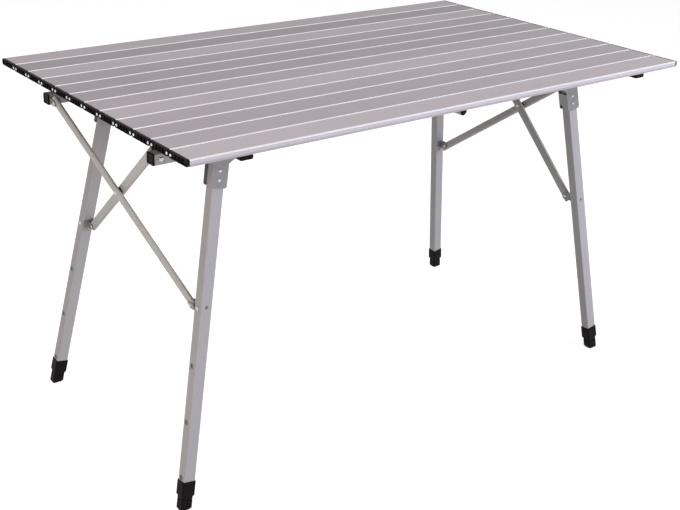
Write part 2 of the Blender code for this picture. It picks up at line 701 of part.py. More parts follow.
def add_fork(bm_plate, bm_ears, bm_pin, frame, face, plate_low, plate_high):
    """A U-shaped fork about a cross pin at the frame's origin. Local x is the pin's axis.

    Local z points away from the face that the fork's plate lies against.
    """
    half = BRACE_THICKNESS / 2 + CLEARANCE
    floor = face + FORK_PLATE
    along_x = frame @ frame_at(ORIGIN, AXIS_Y, AXIS_Z, AXIS_X)
    plate_depth = 2 * (FORK_EAR_RADIUS + FORK_PLATE_MARGIN)
    outline = rectangle(plate_high - plate_low, plate_depth, ((plate_high + plate_low) / 2, 0))
    add_prism(bm_plate, outline, face, floor, frame)
    round_end = arc((0, 0), FORK_EAR_RADIUS, 0, 180, 5)
    outline = [(FORK_EAR_RADIUS, face + FORK_PLATE / 2)] + round_end + [(-FORK_EAR_RADIUS, face + FORK_PLATE / 2)]
    for side in (-1, 1):
        near = side * half
        far = side * (half + FORK_EAR)
        add_prism(bm_ears, outline, min(near, far), max(near, far), along_x)
    outside = half + FORK_EAR
    head = (FORK_PIN_HEAD_RADIUS, FORK_PIN_HEAD_HEIGHT)
    add_rivet(bm_pin, FORK_PIN_RADIUS, *head, -outside, outside, along_x)


def fork_span(shift):
    """How far a fork's plate runs along its pin: under both ears, and round its own rivet beside them."""
    half = BRACE_THICKNESS / 2 + CLEARANCE + FORK_EAR + OVERLAP
    return min(-half, -shift - FORK_EAR_RADIUS), max(half, -shift + FORK_EAR_RADIUS)


def build_rail_fork(side_x, side_y, finish):
    """The swivelling fork on a rail's end, which carries the top of the brace to the other side's leg."""
    upper, _, _, across = brace_axes(side_x, -side_y)
    shift = brace_shift(side_x, -side_y)
    inward = Vector((0, -side_y, 0))
    frame = frame_at(upper, across, inward.cross(across), inward)
    plate = started()
    ears = started()
    pin = started()
    face = CLEARANCE - FORK_REACH
    add_fork(plate, ears, pin, frame, face, *fork_span(shift))
    swivel = started()
    outer_face = -FORK_REACH - RAIL_DEPTH - CLEARANCE
    profile = [
        (0.6 * SWIVEL_HEAD_RADIUS, outer_face - SWIVEL_HEAD_HEIGHT),
        (SWIVEL_HEAD_RADIUS, outer_face - 0.4 * SWIVEL_HEAD_HEIGHT),
        (SWIVEL_HEAD_RADIUS, outer_face),
        (SWIVEL_RADIUS, outer_face),
        (SWIVEL_RADIUS, face + FORK_PLATE / 2),
    ]
    rivet = frame.copy()
    rivet.translation = upper - across * shift
    add_turned(swivel, profile, rivet)
    mesh = combined(plate, [("UNION", ears), ("UNION", pin), ("UNION", swivel)])
    place("rail_fork_" + corner_name(side_x, side_y), finish, rivet.translation, mesh)


def build_clip(side_x, side_y, finish):
    """The fork between a brace's foot and its leg. Its rivet through the leg is the frame's open pivot."""
    _, lower, _, across = brace_axes(side_x, side_y)
    inward = -leg_axes(side_x, side_y)[3]
    inward = (inward - across * inward.dot(across)).normalized()
    frame = frame_at(lower, across, inward.cross(across), inward)
    plate = started()
    ears = started()
    pin = started()
    add_fork(plate, ears, pin, frame, CLEARANCE - FORK_REACH, *fork_span(brace_shift(side_x, side_y)))
    mesh = combined(plate, [("UNION", ears), ("UNION", pin)])
    place("brace_clip_" + corner_name(side_x, side_y), finish, lower, mesh)


def build_brace(side_x, side_y, finish):
    """A straight flat-oval tube, drilled for the cross pins at both ends."""
    upper, lower, along, across = brace_axes(side_x, side_y)
    frame = frame_at(upper, across, along.cross(across), along)
    length = (lower - upper).length
    tube = started()
    outer = stadium(BRACE_THICKNESS, BRACE_WIDTH)
    inner = stadium(BRACE_THICKNESS - 2 * BRACE_WALL, BRACE_WIDTH - 2 * BRACE_WALL)
    add_tube(tube, outer, inner, -BRACE_END, length + BRACE_END, frame)
    holes = started()
    through = frame @ frame_at(ORIGIN, AXIS_Y, AXIS_Z, AXIS_X)
    for drop in (0, length):
        add_prism(holes, disc(FORK_PIN_RADIUS + CLEARANCE, (0, drop)), -BRACE_THICKNESS, BRACE_THICKNESS, through)
    mesh = combined(tube, [("DIFFERENCE", holes)])
    place("brace_" + corner_name(side_x, side_y), finish, upper, mesh)


def build_spacer(side_x, finish):
    """A washer between the two braces where they cross."""
    upper, lower, along, across = brace_axes(side_x, side_x)
    middle = upper + (lower - upper) * upper.y / (upper.y - lower.y)
    frame = frame_at(middle, along.cross(across), along, -across)
    low = BRACE_THICKNESS / 2 + CLEARANCE
    high = 2 * BRACE_SPREAD - low
    bm = started()
    add_prism(bm, disc(SPACER_RADIUS), low, high, frame)
    name = "brace_spacer_left" if side_x < 0 else "brace_spacer_right"
    place(name, finish, middle, mesh_from(bm))


def main():
    clear_scene()
    slat_metal = material("slat_aluminium", (0.42, 0.40, 0.41), 0.45, 0.85)
    frame_metal = material("frame_aluminium", (0.50, 0.49, 0.50), 0.40, 0.85)
    steel = material("zinc_steel", (0.52, 0.52, 0.53), 0.35, 0.95)
    bright = material("bright_steel", (0.75, 0.75, 0.76), 0.20, 1.0)
    black = material("black_plastic", (0.015, 0.015, 0.016), 0.50, 0.0)
    build_top(slat_metal)
    build_supports(frame_metal)
    build_rails(frame_metal, black)
    for side_x, side_y in CORNERS:
        build_bracket(side_x, side_y, steel)
        build_outer_leg(side_x, side_y, frame_metal)
        build_collar(side_x, side_y, black)
        build_inner_leg(side_x, side_y, frame_metal)
        build_button(side_x, side_y, bright)
        build_foot(side_x, side_y, black)
        build_rail_fork(side_x, side_y, steel)
        build_brace(side_x, side_y, frame_metal)
        build_clip(side_x, side_y, steel)
    for side_x in (-1, 1):
        build_spacer(side_x, black)


main()
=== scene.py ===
import json
import math

import bmesh
import bpy
from mathutils import Matrix, Vector


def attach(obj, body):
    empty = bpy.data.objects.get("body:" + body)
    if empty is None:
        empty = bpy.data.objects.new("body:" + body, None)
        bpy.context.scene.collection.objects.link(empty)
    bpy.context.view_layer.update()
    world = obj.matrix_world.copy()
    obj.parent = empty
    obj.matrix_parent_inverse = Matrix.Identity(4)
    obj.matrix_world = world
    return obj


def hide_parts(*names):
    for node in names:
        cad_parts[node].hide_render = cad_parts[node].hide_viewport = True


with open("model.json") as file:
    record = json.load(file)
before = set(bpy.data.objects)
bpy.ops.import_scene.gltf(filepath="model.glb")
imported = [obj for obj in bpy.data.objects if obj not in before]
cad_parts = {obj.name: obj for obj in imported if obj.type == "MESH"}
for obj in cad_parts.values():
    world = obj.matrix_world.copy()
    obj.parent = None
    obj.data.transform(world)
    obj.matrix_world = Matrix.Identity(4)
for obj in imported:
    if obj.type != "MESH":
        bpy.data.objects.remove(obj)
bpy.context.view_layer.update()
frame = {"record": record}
BODY_OF = {
    node: body
    for body, nodes in frame["record"]["behaviour"]["bodies"].items()
    for node in nodes
}

# Sizes shared with the CAD model, in metres
TABLE_LENGTH = 1.170
TABLE_WIDTH = 0.700
TABLE_HEIGHT = 0.695
CLEARANCE = 0.0003

SLAT_COUNT = 12
SLAT_GAP = 0.0012
SLAT_THICKNESS = 0.012
SLAT_PITCH = TABLE_WIDTH / SLAT_COUNT
SLAT_HALF = (SLAT_PITCH - SLAT_GAP) / 2
SUPPORT_TOP = TABLE_HEIGHT - SLAT_THICKNESS - CLEARANCE

RAIL_Y = 0.198
RAIL_DEPTH = 0.022
RAIL_HEIGHT = 0.020
RAIL_WALL = 0.0013
RAIL_DROP = 0.0366
RAIL_Z = TABLE_HEIGHT - RAIL_DROP - RAIL_HEIGHT / 2
RAIL_END_X = 0.562

LEG_PIVOT_X = 0.4034
LEG_OFFSET = 0.028
LEG_SHIFT = -0.0027
LEG_SPLAY_X = math.radians(10.34)
LEG_SPLAY_Y = math.radians(6.15)
LEG_WIDTH = 0.024
LEG_DEPTH = 0.020
LEG_WALL = 0.0013
INNER_WALL = 0.0012
INNER_WIDTH = LEG_WIDTH - 2 * (LEG_WALL + CLEARANCE)
INNER_DEPTH = LEG_DEPTH - 2 * (LEG_WALL + CLEARANCE)
LEG_TOP = (
    (RAIL_HEIGHT / 2 + CLEARANCE + math.sin(LEG_SPLAY_X) * (LEG_OFFSET + LEG_WIDTH / 2))
    / math.cos(LEG_SPLAY_X)
    + math.sin(LEG_SPLAY_Y) * LEG_DEPTH / 2
) / math.cos(LEG_SPLAY_Y)
OUTER_LEG_LENGTH = 0.603
LEG_END = LEG_TOP + OUTER_LEG_LENGTH
COLLAR_OVERLAP = 0.0105
COLLAR_LENGTH = 0.0287
COLLAR_TOP = LEG_END - COLLAR_OVERLAP
COLLAR_END = COLLAR_TOP + COLLAR_LENGTH
INNER_LEG_OVERLAP = 0.389
BUTTON_ABOVE_END = 0.331
BUTTON_DROP = LEG_END - BUTTON_ABOVE_END
BUTTON_STEP = 0.105
BUTTON_STEPS = 4

SWIVEL_X = 0.550
BRACE_SPREAD = 0.00575
BRACE_FOOT_DROP = 0.2877
BRACE_WIDTH = 0.018
BRACE_THICKNESS = 0.009
BRACE_WALL = 0.0012
BRACE_END = 0.009
FORK_REACH = 0.0153
FORK_PLATE = 0.002
FORK_EAR = 0.0016
FORK_EAR_RADIUS = 0.007
CLIP_GAP = 0.0008

BRACKET_THICKNESS = 0.0016
BRACKET_MARGIN = 0.0045
BRACKET_EYE = 0.009
RIVET_COUNT = 2
RIVET_FIRST = 0.0474
RIVET_PITCH = 0.0162

# How far some drawn faces stay back from the CAD model's
HOLD_BACK = 0.0001
# How far shapes that become one mesh reach into each other
BITE = 0.0004

AXIS_X = Vector((1, 0, 0))
AXIS_Y = Vector((0, 1, 0))
AXIS_Z = Vector((0, 0, 1))
ORIGIN = Vector((0, 0, 0))
CORNERS = [(side_x, side_y) for side_y in (-1, 1) for side_x in (-1, 1)]


# Camera, fitted to the photograph, in its pixels and in metres
PHOTO_WIDTH = 680
PHOTO_HEIGHT = 510
FOCAL_LENGTH = 1120.08
PRINCIPAL_X = 290.7
PRINCIPAL_Y = 231.5
SENSOR_WIDTH = 36
CAMERA_PLACE = Vector((-1.3925, -1.7060, 0.5595 + TABLE_HEIGHT))
CAMERA_RIGHT = Vector((0.8107, -0.5848, 0.0268))
CAMERA_DOWN = Vector((-0.2094, -0.3324, -0.9196))
CAMERA_FORWARD = Vector((0.5467, 0.7400, -0.3919))


def add_camera():
    data = bpy.data.cameras.new("camera")
    data.sensor_width = SENSOR_WIDTH
    data.lens = FOCAL_LENGTH * SENSOR_WIDTH / PHOTO_WIDTH
    data.shift_x = (PHOTO_WIDTH / 2 - PRINCIPAL_X) / PHOTO_WIDTH
    data.shift_y = (PRINCIPAL_Y - PHOTO_HEIGHT / 2) / PHOTO_WIDTH
    data.clip_end = 100
    camera = bpy.data.objects.new("camera", data)
    turn = Matrix((CAMERA_RIGHT, -CAMERA_DOWN, -CAMERA_FORWARD)).transposed().to_4x4()
    turn.translation = CAMERA_PLACE
    camera.matrix_world = turn
    bpy.context.scene.collection.objects.link(camera)
    bpy.context.scene.camera = camera


# Materials
# Nearly all of a noise texture's values lie between these two
NOISE_LOW = 0.3
NOISE_HIGH = 0.7
BUMP_DEPTH = 0.0002
METAL_SPECULAR = 0.25
PLASTIC_SPECULAR = 0.06


class Nodes:
    """Adds nodes to a material and joins them."""

    def __init__(self, name):
        self.material = bpy.data.materials.new(name)
        self.material.use_nodes = True
        self.tree = self.material.node_tree
        self.shader = self.tree.nodes["Principled BSDF"]

    def add(self, kind, **settings):
        node = self.tree.nodes.new(kind)
        for key, value in settings.items():
            setattr(node, key, value)
        return node

    def join(self, start, end):
        self.tree.links.new(start, end)

    def noise(self, scale, stretch=(1, 1, 1), detail=3):
        place = self.add("ShaderNodeTexCoord")
        mapping = self.add("ShaderNodeMapping")
        mapping.inputs["Scale"].default_value = stretch
        noise = self.add("ShaderNodeTexNoise")
        noise.inputs["Scale"].default_value = scale
        noise.inputs["Detail"].default_value = detail
        self.join(place.outputs["Object"], mapping.inputs["Vector"])
        self.join(mapping.outputs["Vector"], noise.inputs["Vector"])
        return noise.outputs["Fac"]

    def spread(self, value, low, high):
        ranged = self.add("ShaderNodeMapRange")
        ranged.inputs["From Min"].default_value = NOISE_LOW
        ranged.inputs["From Max"].default_value = NOISE_HIGH
        ranged.inputs["To Min"].default_value = low
        ranged.inputs["To Max"].default_value = high
        self.join(value, ranged.inputs["Value"])
        return ranged.outputs["Result"]

    def tint(self, value, dark, light):
        ramp = self.add("ShaderNodeValToRGB")
        ramp.color_ramp.elements[0].position = NOISE_LOW
        ramp.color_ramp.elements[0].color = (*dark, 1)
        ramp.color_ramp.elements[1].position = NOISE_HIGH
        ramp.color_ramp.elements[1].color = (*light, 1)
        self.join(value, ramp.inputs["Fac"])
        return ramp.outputs["Color"]

    def bump(self, value, strength):
        bump = self.add("ShaderNodeBump")
        bump.inputs["Strength"].default_value = strength
        bump.inputs["Distance"].default_value = BUMP_DEPTH
        self.join(value, bump.inputs["Height"])
        self.join(bump.outputs["Normal"], self.shader.inputs["Normal"])


def brushed_metal(name, colour, scales, roughness, metallic, contrast=0.05, bump=0.1):
    """Metal with fine lines along one axis and slow patches of tone."""
    line_share = 0.55
    roughness_change = 0.05
    nodes = Nodes(name)
    lines = nodes.noise(scale=1.0, stretch=scales, detail=4)
    patches = nodes.noise(scale=7.0, stretch=(0.5, 1, 1), detail=3)
    mixed = nodes.add("ShaderNodeMath", operation="MULTIPLY_ADD")
    mixed.inputs[1].default_value = line_share
    rest = nodes.add("ShaderNodeMath", operation="MULTIPLY")
    rest.inputs[1].default_value = 1 - line_share
    nodes.join(patches, rest.inputs[0])
    nodes.join(lines, mixed.inputs[0])
    nodes.join(rest.outputs[0], mixed.inputs[2])
    dark = [max(0, c * (1 - contrast)) for c in colour]
    light = [min(1, c * (1 + contrast)) for c in colour]
    nodes.join(nodes.tint(mixed.outputs[0], dark, light), nodes.shader.inputs["Base Color"])
    rough = nodes.spread(lines, roughness - roughness_change, roughness + roughness_change)
    nodes.join(rough, nodes.shader.inputs["Roughness"])
    nodes.shader.inputs["Metallic"].default_value = metallic
    nodes.shader.inputs["Specular IOR Level"].default_value = METAL_SPECULAR
    nodes.bump(lines, bump)
    return nodes.material


def moulded_plastic(name, colour, roughness):
    """Plastic with a fine grain and a little dust."""
    dust_lightens = 2.2
    nodes = Nodes(name)
    grain = nodes.noise(scale=1400, detail=2)
    dust = nodes.noise(scale=60, detail=4)
    light = [c * dust_lightens for c in colour]
    nodes.join(nodes.tint(dust, colour, light), nodes.shader.inputs["Base Color"])
    rough = nodes.spread(dust, low=roughness - 0.06, high=roughness + 0.08)
    nodes.join(rough, nodes.shader.inputs["Roughness"])
    nodes.shader.inputs["Specular IOR Level"].default_value = PLASTIC_SPECULAR
    nodes.bump(grain, strength=0.25)
    return nodes.material


SLAT_TONES = [1.28, 1.06, 0.99, 1.01, 1.12, 0.95, 0.84, 0.83, 0.83, 1.0, 0.70, 0.95]
SLAT_COLOUR = (0.345, 0.306, 0.324)
# Painted highlight: the slats' rolled edges are coloured much lighter than their tops, standing in for
# the light the edges catch
EDGE_HIGHLIGHT_COLOUR = (0.78, 0.74, 0.77)
# Painted light: the front slat's front face is coloured lighter and bluer than its top, as if lit from
# the front
FRONT_LIT_COLOUR = (0.52, 0.51, 0.55)
LEG_COLOUR = (0.385, 0.372, 0.378)
# Painted shade: the inner legs are coloured darker than the outer legs' same aluminium, so the holes
# they show through read dark
INNER_LEG_SHADE_COLOUR = (0.22, 0.21, 0.21)
BRACE_COLOUR = (0.49, 0.475, 0.46)
ZINC_COLOUR = (0.26, 0.255, 0.26)
BRIGHT_COLOUR = (0.80, 0.80, 0.80)
RIVET_COLOUR = (0.56, 0.55, 0.56)
PLASTIC_COLOUR = (0.004, 0.003, 0.0035)

# Noise scales along x, y and z: fine lines run along the axis with the smallest one
SLAT_LINES = (4, 900, 900)
RAIL_LINES = (5, 700, 700)
SUPPORT_LINES = (700, 5, 700)
LEG_LINES = (600, 600, 5)
BRACE_LINES = (600, 8, 12)
ZINC_GRAIN = (90, 90, 90)
STEEL_GRAIN = (500, 500, 500)

slat_metals = [
    brushed_metal(
        f"slat_metal_{number + 1:02d}",
        [c * tone for c in SLAT_COLOUR],
        SLAT_LINES,
        roughness=0.45,
        metallic=0.25,
        contrast=0.07,
    )
    for number, tone in enumerate(SLAT_TONES)
]
# Painted highlight: the lighter metal of the slats' rolled edges
edge_highlight_metal = brushed_metal(
    "slat_edge_highlight_metal", EDGE_HIGHLIGHT_COLOUR, SLAT_LINES, roughness=0.35, metallic=0.25, contrast=0.03
)
rail_metal = brushed_metal("rail_metal", LEG_COLOUR, RAIL_LINES, roughness=0.45, metallic=0.25)
support_metal = brushed_metal(
    "support_metal", LEG_COLOUR, SUPPORT_LINES, roughness=0.45, metallic=0.25
)
leg_metal = brushed_metal("leg_metal", LEG_COLOUR, LEG_LINES, roughness=0.45, metallic=0.22)
# Painted shade: the inner legs' darker metal
inner_leg_shaded_metal = brushed_metal(
    "inner_leg_shaded_metal", INNER_LEG_SHADE_COLOUR, LEG_LINES, roughness=0.50, metallic=0.2
)
brace_metal = brushed_metal(
    "brace_metal", BRACE_COLOUR, BRACE_LINES, roughness=0.50, metallic=0.25, contrast=0.06
)
zinc_steel = brushed_metal(
    "zinc_steel", ZINC_COLOUR, ZINC_GRAIN, roughness=0.40, metallic=0.45, contrast=0.12, bump=0.15
)
bright_steel = brushed_metal(
    "bright_steel", BRIGHT_COLOUR, STEEL_GRAIN, roughness=0.25, metallic=0.9, contrast=0.03
)
rivet_steel = brushed_metal(
    "rivet_steel", RIVET_COLOUR, STEEL_GRAIN, roughness=0.28, metallic=0.85, contrast=0.06
)
# Painted light: the lighter, bluer metal of the table's front face
front_lit_metal = brushed_metal(
    "front_face_lit_metal", FRONT_LIT_COLOUR, SLAT_LINES, roughness=0.40, metallic=0.25, contrast=0.04
)
black_plastic = moulded_plastic("black_plastic", PLASTIC_COLOUR, roughness=0.50)


# Shapes
SHARP_ANGLE = math.radians(32)
BEVEL_ANGLE = math.radians(50)


def frame_at(origin, x, y, z):
    made = Matrix((x, y, z)).transposed().to_4x4()
    made.translation = origin
    return made


def arc(centre, radius, first, last, steps):
    found = []
    for step in range(steps + 1):
        angle = math.radians(first + (last - first) * step / steps)
        x = centre[0] + radius * math.cos(angle)
        y = centre[1] + radius * math.sin(angle)
        found.append((x, y))
    return found


def disc(radius, centre=(0, 0), sides=32):
    return arc(centre, radius, 0, 360, sides)[:-1]


def rounded(width, height, radius, centre=(0, 0), steps=4):
    x = width / 2 - radius
    y = height / 2 - radius
    points = arc((-x, -y), radius, 180, 270, steps) + arc((x, -y), radius, 270, 360, steps)
    points += arc((x, y), radius, 0, 90, steps) + arc((-x, y), radius, 90, 180, steps)
    return [(px + centre[0], py + centre[1]) for px, py in points]


def stadium(width, height, steps=12):
    radius = width / 2
    straight = height / 2 - radius
    return arc((0, straight), radius, 0, 180, steps) + arc((0, -straight), radius, 180, 360, steps)


def level(outline, height):
    return [Vector((x, y, height)) for x, y in outline]


def add_loft(bm, levels, at, closed=False):
    rings = [[bm.verts.new(at @ point) for point in points] for points in levels]
    pairs = list(zip(rings, rings[1:]))
    if closed:
        pairs.append((rings[-1], rings[0]))
    else:
        bm.faces.new(reversed(rings[0]))
        bm.faces.new(rings[-1])
    for low, high in pairs:
        for i in range(len(low)):
            j = (i + 1) % len(low)
            bm.faces.new((low[i], low[j], high[j], high[i]))


def add_prism(bm, outline, low, high, at):
    add_loft(bm, [level(outline, low), level(outline, high)], at)


def add_tube(bm, outer, inner, low, high, at):
    levels = [level(outer, low), level(outer, high), level(inner, high), level(inner, low)]
    add_loft(bm, levels, at, closed=True)


def add_turned(bm, profile, at, sides=32):
    add_loft(bm, [level(disc(radius, sides=sides), height) for radius, height in profile], at)


def dome(radius, height, base, direction, steps=6):
    """(radius, height) pairs of a rivet's head that rises from base."""
    found = []
    for step in range(steps):
        angle = math.radians(90 * step / steps)
        found.append((radius * math.cos(angle), base + direction * height * math.sin(angle)))
    return found


def add_rivet(bm, kind, low, high, at):
    """A rivet with a head at each end. kind holds its radius, its heads' radius and height."""
    radius, head_radius, head_height = kind
    profile = list(reversed(dome(head_radius, head_height, low, -1)))
    profile += [(radius, low), (radius, high)]
    profile += dome(head_radius, head_height, high, 1)
    add_turned(bm, profile, at)


def mesh_from(bm):
    bmesh.ops.recalc_face_normals(bm, faces=bm.faces)
    mesh = bpy.data.meshes.new("shape")
    bm.to_mesh(mesh)
    bm.free()
    return mesh


def combined(base, steps):
    """The base after each (operation, shape) step of joining or cutting."""
    scene = bpy.context.scene.collection
    body = bpy.data.objects.new("body", mesh_from(base))
    scene.objects.link(body)
    tools = []
    for operation, tool_shape in steps:
        tool = bpy.data.objects.new("tool", mesh_from(tool_shape))
        scene.objects.link(tool)
        modifier = body.modifiers.new(operation, "BOOLEAN")
        modifier.operation = operation
        modifier.solver = "EXACT"
        modifier.object = tool
        tools.append(tool)
    graph = bpy.context.evaluated_depsgraph_get()
    result = bpy.data.meshes.new_from_object(body.evaluated_get(graph))
    for thing in [body] + tools:
        bpy.data.objects.remove(thing, do_unlink=True)
    return result


def piece(name, mesh, finish, node, hides=True, round_edge=0.0):
    """A mesh drawn in the part's own frame becomes a piece that rides with this node's body.

    With hides, it also takes the place of the node's solid.
    """
    mesh.materials.clear()
    mesh.materials.append(finish)
    mesh.shade_smooth()
    mesh.set_sharp_from_angle(angle=SHARP_ANGLE)
    thing = bpy.data.objects.new(name, mesh)
    bpy.context.scene.collection.objects.link(thing)
    if round_edge:
        edge = thing.modifiers.new("edge", "BEVEL")
        edge.width = round_edge
        edge.segments = 2
        edge.limit_method = "ANGLE"
        edge.angle_limit = BEVEL_ANGLE
    weighted = thing.modifiers.new("weighted", "WEIGHTED_NORMAL")
    weighted.keep_sharp = True
    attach(thing, BODY_OF[node])
    if hides:
        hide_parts(node)
    return thing


def plastic_piece(name, bm, node, hides=True):
    return piece(name, mesh_from(bm), black_plastic, node, hides=hides)


def corner_name(side_x, side_y):
    return ("front_" if side_y < 0 else "rear_") + ("left" if side_x < 0 else "right")


# The top. A drop is measured down from the slats' top face
KNUCKLE_DROP = 0.0076
KNUCKLE_RADIUS = 0.0042
KNUCKLE_ROOM = 0.0048
KNUCKLE_STARTS = {1: 0.574, -1: 0.5776}
KNUCKLE_THICKNESS = 0.003

EXTRUSION_WALL = 0.0015
EXTRUSION_EDGE = 0.0021
EXTRUSION_FOOT_INSET = 0.0014
LIP_REACH = 0.0009
LIP_RISE = 0.0003
LIP_TIP_RISE = 0.0001
LIP_TIP_DROP = 0.0036
LIP_END_DROP = 0.0038
# A face that leans at least this much sideways and up is part of a rolled edge, which gets a much
# lighter metal as a painted highlight
EDGE_LEAN = 0.1
# A face that looks this much to the front, within the strip, is the table's front face, which gets a
# lighter, bluer metal as painted light
FRONT_LEAN = 0.9
FRONT_STRIP = 0.001

PLUG_START = 0.572
PLUG_TOP = 0.0031
FREE_EDGE_INSET = 0.0031
NOTCH_MARGIN = 0.002
NOTCH_TOP = 0.003
NOTCH_BOTTOM = 0.013

CAP_PLATE = 0.0045
CAP_RECESS = 0.0024
CAP_RIM = 0.0013
CAP_EDGE = 0.0030
CAP_FOOT_INSET = 0.0030
CAP_TAPER_DROP = 0.0085
RIB_OFFSETS = (-0.010, 0.0, 0.010)
RIB_WIDTH = 0.0012
RIB_HEIGHT = 0.0092
RIB_ROUND = 0.0004
RIB_DROP = 0.0060
RIB_RECESS = 0.0003
PIN_RADIUS = 0.0027
PIN_HEAD = 0.0011
PIN_INSET = 0.0050
PIN_DROP = 0.0074
PIN_BOSS_RADIUS = 0.0038
PIN_BOSS_RECESS = 0.0014
PIN_SIDES = 20


def slat_section(lip):
    half = SLAT_HALF
    foot = half - EXTRUSION_FOOT_INSET
    wall = EXTRUSION_WALL
    edge = EXTRUSION_EDGE
    points = arc((edge - half, -edge), edge, 180, 90, 6)
    points += arc((half - edge, -edge), edge, 90, 0, 6)
    if lip:
        points = points[:-1] + [
            (half, LIP_RISE - edge),
            (half + LIP_REACH, LIP_TIP_RISE - edge),
            (half + LIP_REACH, -LIP_TIP_DROP),
            (half, -LIP_END_DROP),
        ]
    points += [(half, -KNUCKLE_DROP), (foot, -SLAT_THICKNESS), (foot - wall, -SLAT_THICKNESS)]
    points += [(half - wall, -KNUCKLE_DROP), (half - wall, -wall)]
    for centre in (half / 3, -half / 3):
        points += [
            (centre + wall / 2, -wall),
            (centre + wall / 2, -SLAT_THICKNESS),
            (centre - wall / 2, -SLAT_THICKNESS),
            (centre - wall / 2, -wall),
        ]
    points += [(wall - half, -wall), (wall - half, -KNUCKLE_DROP), (wall - foot, -SLAT_THICKNESS)]
    points += [(-foot, -SLAT_THICKNESS), (-half, -KNUCKLE_DROP)]
    return points


def cap_section(inset=0.0):
    half = SLAT_HALF - inset
    foot = half - CAP_FOOT_INSET
    edge = CAP_EDGE
    points = arc((edge - half, -edge - inset), edge, 180, 90, 5)
    points += arc((half - edge, -edge - inset), edge, 90, 0, 5)
    return points + [
        (half, -CAP_TAPER_DROP),
        (foot, inset - SLAT_THICKNESS),
        (-foot, inset - SLAT_THICKNESS),
        (-half, -CAP_TAPER_DROP),
    ]


def build_extrusion(number, name, centre, joined, edges):
    end = TABLE_LENGTH / 2
    along = frame_at(centre, AXIS_Y, AXIS_Z, AXIS_X)
    bm = bmesh.new()
    section = slat_section(number < SLAT_COUNT)
    add_prism(bm, section, CAP_PLATE - end, end - CAP_PLATE, along)
    front = -edges[-1] - (NOTCH_MARGIN if -1 in joined else 0)
    rear = edges[1] + (NOTCH_MARGIN if 1 in joined else 0)
    notch = [(front, -NOTCH_TOP), (rear, -NOTCH_TOP), (rear, -NOTCH_BOTTOM), (front, -NOTCH_BOTTOM)]
    notches = bmesh.new()
    for side in (-1, 1):
        out = frame_at(centre, AXIS_Y, AXIS_Z, AXIS_X * side)
        add_prism(notches, notch, PLUG_START, end, out)
    mesh = combined(bm, [("DIFFERENCE", notches)])
    body = piece(name + "_extrusion", mesh, slat_metals[number - 1], name)
    # The rolled edges take a much lighter metal, a painted highlight
    body.data.materials.append(edge_highlight_metal)
    # The front slat's front face takes a lighter, bluer metal, painted light
    body.data.materials.append(front_lit_metal)
    strip_end = FRONT_STRIP - TABLE_WIDTH / 2
    for polygon in body.data.polygons:
        normal = polygon.normal
        if abs(normal.y) > EDGE_LEAN and normal.z > EDGE_LEAN:
            polygon.material_index = 1
        elif number == 1 and normal.y < -FRONT_LEAN and polygon.center.y < strip_end:
            polygon.material_index = 2


def build_slat_cap(name, slat, out, joined, edges, pin_spots):
    end = TABLE_LENGTH / 2
    face = end - HOLD_BACK
    floor = end - CAP_RECESS
    outer = cap_section()
    rim = cap_section(CAP_RIM)
    plate = bmesh.new()
    levels = [level(outer, end - CAP_PLATE), level(outer, face), level(rim, face), level(rim, floor)]
    add_loft(plate, levels, out)
    ribs = bmesh.new()
    for spot in pin_spots:
        boss = disc(PIN_BOSS_RADIUS, spot, 24)
        add_prism(ribs, boss, floor - BITE, face - PIN_BOSS_RECESS, out)
    for offset in RIB_OFFSETS:
        rib = rounded(RIB_WIDTH, RIB_HEIGHT, RIB_ROUND, (offset, -RIB_DROP), 2)
        add_prism(ribs, rib, floor - BITE, face - RIB_RECESS, out)
    plug = bmesh.new()
    outline = [
        (-edges[-1], -PLUG_TOP),
        (edges[1], -PLUG_TOP),
        (edges[1], -CAP_TAPER_DROP),
        (edges[1] - CAP_FOOT_INSET, HOLD_BACK - SLAT_THICKNESS),
        (CAP_FOOT_INSET - edges[-1], HOLD_BACK - SLAT_THICKNESS),
        (-edges[-1], -CAP_TAPER_DROP),
    ]
    add_prism(plug, outline, PLUG_START, end - CAP_PLATE + BITE, out)
    pockets = bmesh.new()
    knuckles = bmesh.new()
    for joint_side in joined:
        hinge = (joint_side * SLAT_PITCH / 2, -KNUCKLE_DROP)
        start = KNUCKLE_STARTS[-joint_side] - CLEARANCE
        room = disc(KNUCKLE_ROOM, hinge)
        add_prism(pockets, room, start, start + KNUCKLE_THICKNESS + 2 * CLEARANCE, out)
        start = KNUCKLE_STARTS[joint_side]
        add_prism(knuckles, disc(KNUCKLE_RADIUS, hinge), start, start + KNUCKLE_THICKNESS, out)
    steps = [("UNION", plug), ("DIFFERENCE", pockets), ("UNION", knuckles), ("UNION", ribs)]
    mesh = combined(plate, steps)
    piece(name, mesh, black_plastic, slat, hides=False)


def build_slat_pins(name, slat, out, side, spots):
    face = TABLE_LENGTH / 2 - HOLD_BACK
    floor = TABLE_LENGTH / 2 - CAP_RECESS
    profile = [(PIN_RADIUS, floor)] + dome(PIN_RADIUS, PIN_HEAD, face - PIN_HEAD, 1)
    pins = bmesh.new()
    for spot in spots:
        centre = out @ Vector((spot[0], spot[1], 0))
        add_turned(pins, profile, frame_at(centre, AXIS_Y, AXIS_Z, AXIS_X * side), PIN_SIDES)
    piece(name, mesh_from(pins), bright_steel, slat, hides=False)


